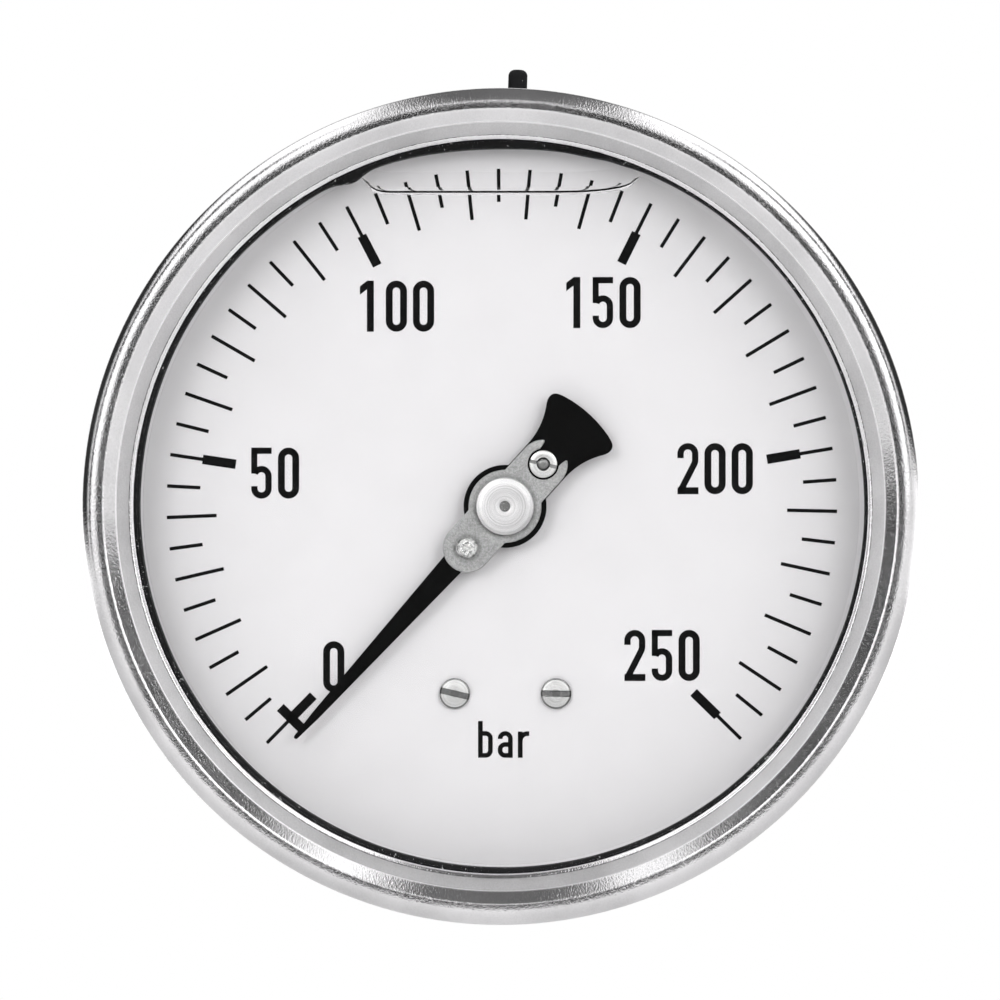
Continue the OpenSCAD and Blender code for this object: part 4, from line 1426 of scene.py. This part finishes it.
@dataclass
class Numerals:
    """Plain narrow figures and letters, drawn stroke by stroke on a grid of small units."""

    unit: float
    tall: float = 51.0
    wide: float = 21.2
    advance: float = 27.1
    after_one: float = 26.0
    stem: float = 6.9
    bowl: float = 6.35
    small_tall: float = 36.7
    small_stem: float = 4.7
    weld: float = 0.01
    shape: BMesh | None = None

    def strip(self, width: float, x: float, y: float, heading: float, length: float) -> None:
        """Draw one straight bar from a place."""
        Pen(self.shape, width).down(x, y, heading).line(length)

    def zero(self, x: float) -> None:
        """Draw a nought: a loop with round ends.

        Args:
            x: Where its left side lies.
        """
        radius = (self.wide - self.stem) / 2
        side = self.tall - self.wide
        pen = Pen(self.shape, self.stem).down(x + self.stem / 2, self.wide / 2, 90.0)
        pen.line(side).arc(radius, -180.0).line(side).arc(radius, -180.0)

    def one(self, x: float) -> None:
        """Draw a one: a stem with a sloping flag."""
        self.strip(self.stem, x + 10.65, 0.0, 90.0, self.tall)
        Pen(self.shape, 8.46).down(x + 7.5, self.tall - 4.23, 180.0).slide(Vector((-7.4, -5.7)))

    def two(self, x: float) -> None:
        """Draw a two: a hook, a slope and a foot.

        Args:
            x: Where its left side lies.
        """
        pen = Pen(self.shape, self.bowl).down(x + 3.3, 36.0, 90.0)
        pen.line(4.5).arc(7.3, -180.0).line(6.6).arc(8.0, -27.0).line(28.4)
        self.strip(7.0, x + 0.3, 3.5, 0.0, 20.9)

    def five(self, x: float) -> None:
        """Draw a five: a bar, a stem and a bowl.

        Args:
            x: Where its left side lies.
        """
        self.strip(6.3, x + 0.4, self.tall - 3.15, 0.0, 20.4)
        self.strip(6.1, x + 3.45, self.tall, -90.0, 26.0)
        pen = Pen(self.shape, self.bowl).down(x + 3.98, 24.9, 70.0)
        pen.arc(7.05, -160.0).line(12.3).arc(7.05, -180.0).line(2.3)

    def small_b(self, x: float) -> None:
        """Draw a small b: a tall stem and a bowl.

        Args:
            x: Where its left side lies.
        """
        self.strip(self.small_stem, x + self.small_stem / 2, 0.0, 90.0, self.small_tall)
        pen = Pen(self.shape, self.small_stem).down(x + 4.0, 24.25, 0.0)
        pen.line(3.45).arc(4.9, -90.0).line(12.1).arc(4.9, -90.0).line(3.6)

    def small_a(self, x: float) -> None:
        """Draw a small a: an arch into a stem, and a bowl.

        Args:
            x: Where its left side lies.
        """
        arch = Pen(self.shape, self.small_stem).down(x + 2.4, 18.7, 90.0)
        arch.line(0.4).arc(5.13, -180.0).line(19.1)
        bowl = Pen(self.shape, self.small_stem).down(x + 12.0, 13.2, 180.0)
        bowl.line(4.6).arc(5.0, 90.0).line(0.85).arc(5.0, 90.0).line(4.6)

    def small_r(self, x: float) -> None:
        """Draw a small r: a stem and an arm."""
        self.strip(4.8, x + 2.4, 0.0, 90.0, 26.2)
        Pen(self.shape, self.small_stem).down(x + 2.6, 17.2, 90.0).arc(6.9, -90.0).line(1.9)

    def write(self, text: str, centre: Pair, front: float, back: float) -> BMesh:
        """Write a number or a unit on the dial.

        Args:
            text: What to write.
            centre: Its middle, right of and above the dial's axis.
            front: How far behind the bezel's front the ink starts.
            back: How far behind it the ink ends.

        Returns:
            The ink.
        """
        # How each is drawn, how wide it is and how far on the next one starts
        strokes = {
            "0": (self.zero, self.wide, self.advance), "1": (self.one, 14.1, self.after_one),
            "2": (self.two, self.wide, self.advance), "5": (self.five, self.wide, self.advance),
            "b": (self.small_b, 14.7, 19.6), "a": (self.small_a, 15.0, 20.1), "r": (self.small_r, 11.4, 16.0),
        }
        self.shape = bmesh.new()
        at = 0.0
        for letter in text:
            draw, wide, step = strokes[letter]
            draw(at)
            end, at = at + wide, at + step
        tall = self.small_tall if text[0].isalpha() else self.tall
        middle = Matrix.Translation((-end / 2, -tall / 2, 0.0))
        grown = Matrix.Diagonal((self.unit, -self.unit, 1.0, 1.0))
        there = Matrix.Translation((centre[0], -centre[1], back))
        bmesh.ops.remove_doubles(self.shape, verts=self.shape.verts[:], dist=self.weld)
        bmesh.ops.recalc_face_normals(self.shape, faces=self.shape.faces[:])
        thicken(self.shape, front - back)
        bmesh.ops.transform(self.shape, matrix=on_axis() @ there @ grown @ middle, verts=self.shape.verts[:])
        bmesh.ops.recalc_face_normals(self.shape, faces=self.shape.faces[:])
        return self.shape


@dataclass
class Dial:
    """The white dial with its scale, its figures and its two screws."""

    face: float = 13.475
    ink: float = 0.02
    ink_sunk: float = 0.002
    first: float = 225.53
    sweep: float = 270.0
    scale_rise: float = 0.318
    last_value: int = 250
    step: int = 5
    long_step: int = 10
    bar_step: int = 50
    outer_r: float = 43.38
    short_r: float = 39.06
    long_r: float = 36.92
    line_w: float = 0.46
    bar_r: float = 34.78
    bar_w: float = 1.23
    bar_overlap: float = 0.07
    zero_r: Pair = (38.23, 39.5)
    zero_half: float = 2.0
    figure_unit: float = 0.12968
    figures: tuple[tuple[str, Pair], ...] = (
        ("0", (-21.72, -20.76)), ("50", (-29.33, 4.3)), ("100", (-13.54, 25.9)), ("150", (13.17, 26.35)),
        ("200", (27.6, 4.87)), ("250", (20.74, -19.28)), ("bar", (0.27, -30.14)),
    )
    screw: SlottedScrew = SlottedScrew(
        head_r=1.97, head_front=12.58, head_back=13.47, shank_r=1.2, shank_end=20.25, slot_w=0.82,
        slot_deep=0.55, crown=0.06,
    )
    slot_bearings: Pair = (-13.0, -1.0)

    def mark(self, value: float, inner: float, outer: float, width: float) -> BMesh:
        """Print one line of the scale.

        Args:
            value: Where on the scale it stands.
            inner: The radius of its inner end.
            outer: The radius of its outer end.
            width: How wide it is.

        Returns:
            The line.
        """
        bearing = self.first - self.sweep * value / self.last_value
        middle = Matrix.Translation(((inner + outer) / 2, 0.0, self.face - self.ink / 2 + self.ink_sunk))
        place = on_axis(0.0, AXIS_UP + self.scale_rise, bearing)
        return block((outer - inner, width, self.ink), place @ middle)

    def build_scale(self) -> None:
        """Print the scale's lines."""
        lines = []
        for value in range(0, self.last_value + 1, self.step):
            if value % self.bar_step == 0:
                lines.append(self.mark(value, self.short_r, self.outer_r, self.line_w))
                lines.append(self.mark(value, self.bar_r, self.short_r + self.bar_overlap, self.bar_w))
                if value == 0:
                    lines.append(self.mark(value, *self.zero_r, 2 * self.zero_half))
            else:
                inner = self.long_r if value % self.long_step == 0 else self.short_r
                lines.append(self.mark(value, inner, self.outer_r, self.line_w))
        keep(joined(lines), "dial_scale_lines", DIAL_INK, Body.CASE)

    def build_figures(self) -> None:
        """Print the numbers and the unit."""
        pen = Numerals(self.figure_unit)
        front, back = self.face - self.ink, self.face + self.ink_sunk
        written = [pen.write(text, centre, front, back) for text, centre in self.figures]
        keep(joined(written), "dial_figures", DIAL_INK, Body.CASE)

    def build(self) -> None:
        """Dress the dial, print it and put in its screws."""
        dress_node("dial_plate", DIAL_LACQUER)
        self.build_scale()
        self.build_figures()
        seats = [on_axis(*place) for place in DIAL_SCREWS]
        pair = [self.screw.build(seat, slot) for seat, slot in zip(seats, self.slot_bearings)]
        keep(
            joined(pair), "dial_slotted_screws", DIAL_SCREW_STEEL, Body.CASE,
            ["dial_screws"],
        )


@dataclass
class Pointer:
    """The pointer: hub, silver plate, black blade, rivet and the screw that sets its zero.

    A turned piece's profile is given as radius and depth behind the bezel's front.
    """

    hub: tuple[Pair, ...] = (
        (0.66, 12.87), (0.66, 8.94), (0.72, 8.86), (0.8, 8.835), (0.9, 8.83), (2.2, 8.83), (3.4, 8.832),
        (3.54, 8.85), (3.64, 8.91), (3.69, 9.0), (HUB_R, 9.12), (HUB_R, 9.82), (2.0, 9.82), (2.0, 12.75),
        (1.88, 12.87),
    )
    hub_flats: int = 96
    rivet: tuple[Pair, ...] = (
        (0.0, 9.55), (0.35, 9.55), (0.7, 9.555), (1.0, 9.565), (1.2, 9.6), (1.32, 9.66), (1.39, 9.76),
        (RIVET_R, 9.82), (0.68, 9.82), (0.68, 10.9), (1.1, 10.9), (1.1, 11.22), (0.0, 11.22),
    )
    rivet_flats: int = 48
    hammer_front: float = 9.53
    hammer_reach: float = 0.2
    hammer_deep: float = 0.05
    hammer_scale: float = 1900.0
    setting_ring: tuple[Pair, ...] = (
        (0.0, 9.79), (0.82, 9.79), (0.88, 9.62), (0.95, 9.592), (1.25, 9.583), (1.6, 9.592), (1.72, 9.62),
        (1.79, 9.7), (1.79, 9.8), (1.0, 9.8), (1.0, 11.0), (0.8, 11.22), (0.0, 11.22),
    )
    setting_dome: tuple[Pair, ...] = (
        (0.0, 9.63), (0.3, 9.64), (0.55, 9.67), (0.7, 9.72), (0.78, 9.785), (0.0, 9.785)
    )
    setting_saw: Triple = (4.4, 0.46, 1.0)
    setting_slot_floor: float = 9.75
    setting_lean: float = 13.0
    setting_break: float = 0.04
    sheet_least: float = 0.3
    corner_around: float = 1.7
    corner_cuts: int = 2
    corner_passes: int = 16

    def seat(self, u: float) -> Matrix:
        """Give a place along the pointer, with its length towards the tip."""
        return on_axis(*MOVEMENT_AXIS, POINTER_BEARING) @ Matrix.Translation((u, 0.0, 0.0))

    def rounded(self, sheet: BMesh, over: float, reach: float) -> BMesh:
        """Round the sharpest corners of a stamped sheet, seen from the front.

        Args:
            sheet: The sheet with sharp corners.
            over: The least angle of a corner that is rounded, in degrees.
            reach: How far from a corner the rounding reaches, in millimetres.

        Returns:
            The same sheet.
        """
        least = self.sheet_least * MM
        upright = [edge for edge in sheet.edges if abs(edge.verts[0].co.y - edge.verts[1].co.y) > least]
        sharp = [edge for edge in upright if edge.is_manifold and edge.calc_face_angle() > math.radians(over)]
        corners = [edge.verts[0].co.xz for edge in sharp]

        def off(vert: BMVert) -> float:
            """Give how far a point lies from the nearest corner."""
            return min((vert.co.xz - corner).length for corner in corners) / MM

        around = reach * self.corner_around
        along = [e for e in sheet.edges if e not in upright and max(off(v) for v in e.verts) < around]
        bmesh.ops.subdivide_edges(sheet, edges=along, cuts=self.corner_cuts)
        near = [vert for vert in sheet.verts if off(vert) < reach]
        for _ in range(self.corner_passes):
            bmesh.ops.smooth_vert(
                sheet, verts=near, factor=0.5, use_axis_x=True, use_axis_y=False, use_axis_z=True
            )
        return sheet

    def build_hub(self) -> None:
        """Turn the hub round the arbor's end."""
        hub = turned(self.hub, self.seat(0.0), self.hub_flats, closed=True)
        keep(hub, "pointer_turned_hub", HUB_SILVER, Body.POINTER, ["pointer_hub"])

    def build_plate(self) -> None:
        """Stamp the forked plate under the hub."""
        plate = soften(self.rounded(node_copy("pointer_plate"), over=100.0, reach=0.7), 0.09, 40.0)
        keep(
            plate, "pointer_stamped_plate", PLATE_SILVER, Body.POINTER, ["pointer_plate"]
        )

    def build_rivet(self) -> None:
        """Set the rivet with a hammered head."""
        rivet = turned(self.rivet, self.seat(RIVET_U), self.rivet_flats)
        middle = self.seat(RIVET_U) @ Vector((0.0, 0.0, self.hammer_front))
        for vert in rivet.verts:
            if vert.co.y < middle.y + self.hammer_reach * MM:
                blow = abs(noise.noise((vert.co - middle) * self.hammer_scale))
                vert.co.y += self.hammer_deep * MM * blow
        keep(
            rivet, "pointer_hammered_rivet", RIVET_SILVER, Body.POINTER,
            ["pointer_rivet"],
        )

    def build_blade(self) -> None:
        """Stamp the black blade with its tail."""
        blade = soften(self.rounded(node_copy("pointer_blade"), over=70.0, reach=1.6), 0.06, 40.0)
        keep(blade, "pointer_black_blade", POINTER_LACQUER, Body.BLADE, ["pointer_blade"])

    def build_trim(self) -> None:
        """Turn the setting screw: a raised ring with a shallow slot, and a dark domed middle."""
        seat = self.seat(SETTING_U)
        turn = seat @ Matrix.Rotation(math.radians(POINTER_BEARING + self.setting_lean), 4, "Z")
        middle = self.setting_slot_floor - self.setting_saw[2] / 2
        slot = block(self.setting_saw, turn @ Matrix.Translation((0.0, 0.0, middle)))
        ring = cut_away(turned(self.setting_ring, seat), slot)
        made = joined([soften(ring, self.setting_break, 50.0, 1), turned(self.setting_dome, seat, 48)])
        keep(made, "pointer_setting_screw", SETTING_STEEL, Body.TRIM, ["trim_screw"])

    def build(self) -> None:
        """Build the pointer from its hub outwards."""
        self.build_hub()
        self.build_plate()
        self.build_rivet()
        self.build_blade()
        self.build_trim()


@dataclass
class Movement:
    """The works behind the dial, which keep their construction shapes."""

    finishes: tuple[tuple[Finish, tuple[str, ...]], ...] = (
        (BRASS, (
            "dial_standoffs", "movement_front_plate", "movement_back_plate", "movement_pillars",
            "hairspring_stud", "hairspring_collet", "sector_gear", "link_bar",
        )),
        (TUBE_BRONZE, ("bourdon_tube", "tube_end")),
        (ARBOR_STEEL, ("pinion_arbor", "sector_arbor", "sector_link_pin", "tube_end_pin")),
        (SPRING_STEEL, ("hairspring",)),
        (SCREW_STEEL, ("plate_screws",)),
    )

    def build(self) -> None:
        """Dress the works."""
        for finish, nodes in self.finishes:
            for node in nodes:
                dress_node(node, finish)


# Studio


@dataclass
class Surround:
    """The light round the gauge: two soft boxes above, a pale room below and a dark front.

    Angles are in degrees off the camera's axis, and a rise is the sine of the bearing above level.
    """

    box_light: float = 1.7
    room_light: float = 0.95
    back_light: float = 0.85
    dark: float = 0.038
    front: Pair = (17.0, 25.0)
    box_end: Pair = (66.0, 94.0)
    box_longer: float = 60.0
    longer_rise: Pair = (0.5, 0.87)
    gap_rise: Pair = (0.94, 0.975)
    gap_light: float = 0.085
    strip_start: Pair = (56.0, 59.0)
    strip_end: Pair = (71.0, 74.0)
    strip_rise: Pair = (0.79, 0.95)
    strip_shade: float = 0.97
    level: Pair = (-0.06, 0.06)
    level_lean: float = 0.12
    sides: Pair = (-0.4, 0.4)
    side_light: Pair = (0.86, 1.08)
    room_far: Pair = (70.0, 110.0)
    room_gain: float = 1.45
    back: Pair = (146.0, 156.0)
    least: float = 0.001

    def build(self) -> None:
        """Lay out the light as a sum of the boxes, the room and the wall behind."""
        world = bpy.data.worlds.new("studio")
        world.use_nodes = True
        bpy.context.scene.world = world
        nodes = Wiring(world.node_tree)
        way = nodes.add("ShaderNodeTexCoord").outputs["Generated"]
        across, depth, up = nodes.add("ShaderNodeSeparateXYZ", {0: way}).outputs
        off = nodes.sum("ARCCOSINE", nodes.sum("MULTIPLY", depth, -1.0))
        squares = nodes.sum("ADD", nodes.sum("POWER", across, 2.0), nodes.sum("POWER", up, 2.0))
        rise = nodes.sum("DIVIDE", up, nodes.sum("MAXIMUM", nodes.sum("SQRT", squares), self.least))
        lean = nodes.sum("SUBTRACT", rise, nodes.sum("MULTIPLY", across, self.level_lean))
        clear = nodes.sweep(off, self.front)
        longer = nodes.span(rise, self.longer_rise, True, (0.0, math.radians(self.box_longer)))
        strip = nodes.sum(
            "MULTIPLY", nodes.sweep(off, self.strip_start), nodes.sweep(off, self.strip_end, FALLING),
            nodes.span(rise, self.strip_rise, True, (self.strip_shade, 0.0)),
        )
        boxes = nodes.sum(
            "MULTIPLY", clear, nodes.sweep(nodes.sum("SUBTRACT", off, longer), self.box_end, FALLING),
            nodes.span(lean, self.level, True), nodes.span(rise, self.gap_rise, True, (1.0, self.gap_light)),
            nodes.sum("SUBTRACT", 1.0, strip), nodes.span(across, self.sides, to=self.side_light),
            self.box_light,
        )
        room = nodes.sum(
            "MULTIPLY", clear, nodes.span(lean, self.level, True, FALLING),
            nodes.sweep(off, self.room_far, (1.0, self.room_gain)), self.room_light,
        )
        back = nodes.sum("MULTIPLY", nodes.sweep(off, self.back), self.back_light)
        total = nodes.sum("ADD", boxes, self.dark, room, back)
        seen = nodes.add("ShaderNodeLightPath").outputs["Is Camera Ray"]
        shown = nodes.sum("ADD", nodes.sum("MULTIPLY", total, nodes.sum("SUBTRACT", 1.0, seen)), seen)
        light = nodes.add("ShaderNodeBackground", {"Color": (1.0, 1.0, 1.0, 1.0), "Strength": shown})
        nodes.add("ShaderNodeOutputWorld", {"Surface": light.outputs[0]})


@dataclass(frozen=True)
class Lamp:
    """A round soft lamp, which glints on metal only where it has a sheen."""

    name: str
    power: float
    size: float = 0.32
    sheen: bool = False

    def hang(self, place: Vector, way: Vector) -> Object:
        """Hang the lamp.

        Args:
            place: Where it hangs.
            way: Where it shines.

        Returns:
            The lamp.
        """
        light = bpy.data.lights.new(self.name, "AREA")
        light.shape, light.size, light.energy = "DISK", self.size, self.power
        hung = bpy.data.objects.new(self.name, light)
        bpy.context.scene.collection.objects.link(hung)
        hung.location = place
        hung.rotation_euler = way.to_track_quat("-Z", "Y").to_euler()
        hung.visible_glossy = self.sheen
        return hung


@dataclass
class Studio:
    """The camera, the floor and the lamps round the gauge, in metres."""

    camera_away: float = 0.8
    camera_turn: float = 1.0
    aim_z: float = 0.03082
    lens: float = 225.9
    sensor: float = 36.0
    clip: Pair = (0.05, 20.0)
    floor_z: float = -0.1
    floor_r: float = 0.6
    floor_flats: int = 96
    left: float = 145.0
    right: float = 35.0
    lamp_lean: float = 22.0
    lamp_away: float = 0.9
    lamp_aim: Triple = (0.0, -0.05, AXIS_UP * MM)
    left_lamps: tuple[Lamp, Lamp] = (Lamp("lamp_left", 1.53), Lamp("sheen_left", 0.72, sheen=True))
    right_lamps: tuple[Lamp, Lamp] = (Lamp("lamp_right", 1.45), Lamp("sheen_right", 0.69, sheen=True))
    floor_lamp: Lamp = Lamp("lamp_floor", 0.62, 0.3)
    floor_lamp_at: Triple = (0.0, -0.5, 0.25)
    floor_lamp_way: Triple = (0.0, 0.45, -0.35)
    hung: list[Object] = field(default_factory=list)

    def build_camera(self) -> None:
        """Set up the camera where the photograph was taken from."""
        lens = bpy.data.cameras.new("camera")
        lens.lens, lens.sensor_width = self.lens, self.sensor
        lens.clip_start, lens.clip_end = self.clip
        camera = bpy.data.objects.new("camera", lens)
        bpy.context.scene.collection.objects.link(camera)
        turn = math.radians(self.camera_turn)
        front = -THREAD_DEPTH * MM
        camera.location = (
            self.camera_away * math.sin(turn), front - self.camera_away * math.cos(turn), self.aim_z
        )
        way = Vector((0.0, front, self.aim_z)) - camera.location
        camera.rotation_euler = way.to_track_quat("-Z", "Y").to_euler()
        bpy.context.scene.camera = camera

    def build_floor(self) -> Object:
        """Lay a pale floor under the gauge.

        Returns:
            The floor.
        """
        floor = bmesh.new()
        bmesh.ops.create_circle(
            floor, cap_ends=True, segments=self.floor_flats, radius=self.floor_r,
            matrix=Matrix.Translation((0, 0, self.floor_z)),
        )
        laid = as_object(floor, "studio_floor")
        laid.data.materials.append(FLOOR_CARD.material())
        return laid

    def build_lamp(self, lamp: Lamp, bearing: float) -> None:
        """Hang a soft lamp high in front.

        Args:
            lamp: The lamp.
            bearing: Where it hangs, counter-clockwise from the right, in degrees.
        """
        off, way = math.radians(self.lamp_lean), math.radians(bearing)
        side = Vector((math.sin(off) * math.cos(way), -math.cos(off), math.sin(off) * math.sin(way)))
        self.hung.append(lamp.hang(Vector(self.lamp_aim) + side * self.lamp_away, -side))

    def build_floor_lamp(self, floor: Object) -> None:
        """Light the floor alone, so that it shows pale in the metal.

        Args:
            floor: The floor.
        """
        hung = self.floor_lamp.hang(Vector(self.floor_lamp_at), Vector(self.floor_lamp_way))
        lit = bpy.data.collections.new("lit_floor")
        lit.objects.link(floor)
        hung.light_linking.receiver_collection = lit

    def shade_bezel(self) -> None:
        """Keep the lamps off the bezel, as flags beside a lamp do."""
        lit = bpy.data.collections.new("lit_by_lamps")
        for piece in bpy.context.scene.objects:
            if piece.type == "MESH" and piece.name != BEZEL_NAME:
                lit.objects.link(piece)
        for lamp in self.hung:
            lamp.light_linking.receiver_collection = lit

    def build(self) -> None:
        """Set up the studio."""
        self.build_camera()
        floor = self.build_floor()
        Surround().build()
        for left, right in zip(self.left_lamps, self.right_lamps):
            self.build_lamp(left, self.left)
            self.build_lamp(right, self.right)
        self.build_floor_lamp(floor)
        bpy.context.scene.view_settings.view_transform = "Standard"


def main() -> None:
    """Build the studio and the gauge, piece by piece, and keep the lamps off the bezel."""
    logging.basicConfig(level=logging.INFO, format="%(name)s %(message)s")
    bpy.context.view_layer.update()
    studio = Studio()
    for assembly in (studio, Bezel(), Window(), Case(), Socket(), Dial(), Pointer(), Movement()):
        assembly.build()
        LOG.info("%s built", type(assembly).__name__)
    studio.shade_bezel()


if __name__ == "__main__":
    main()
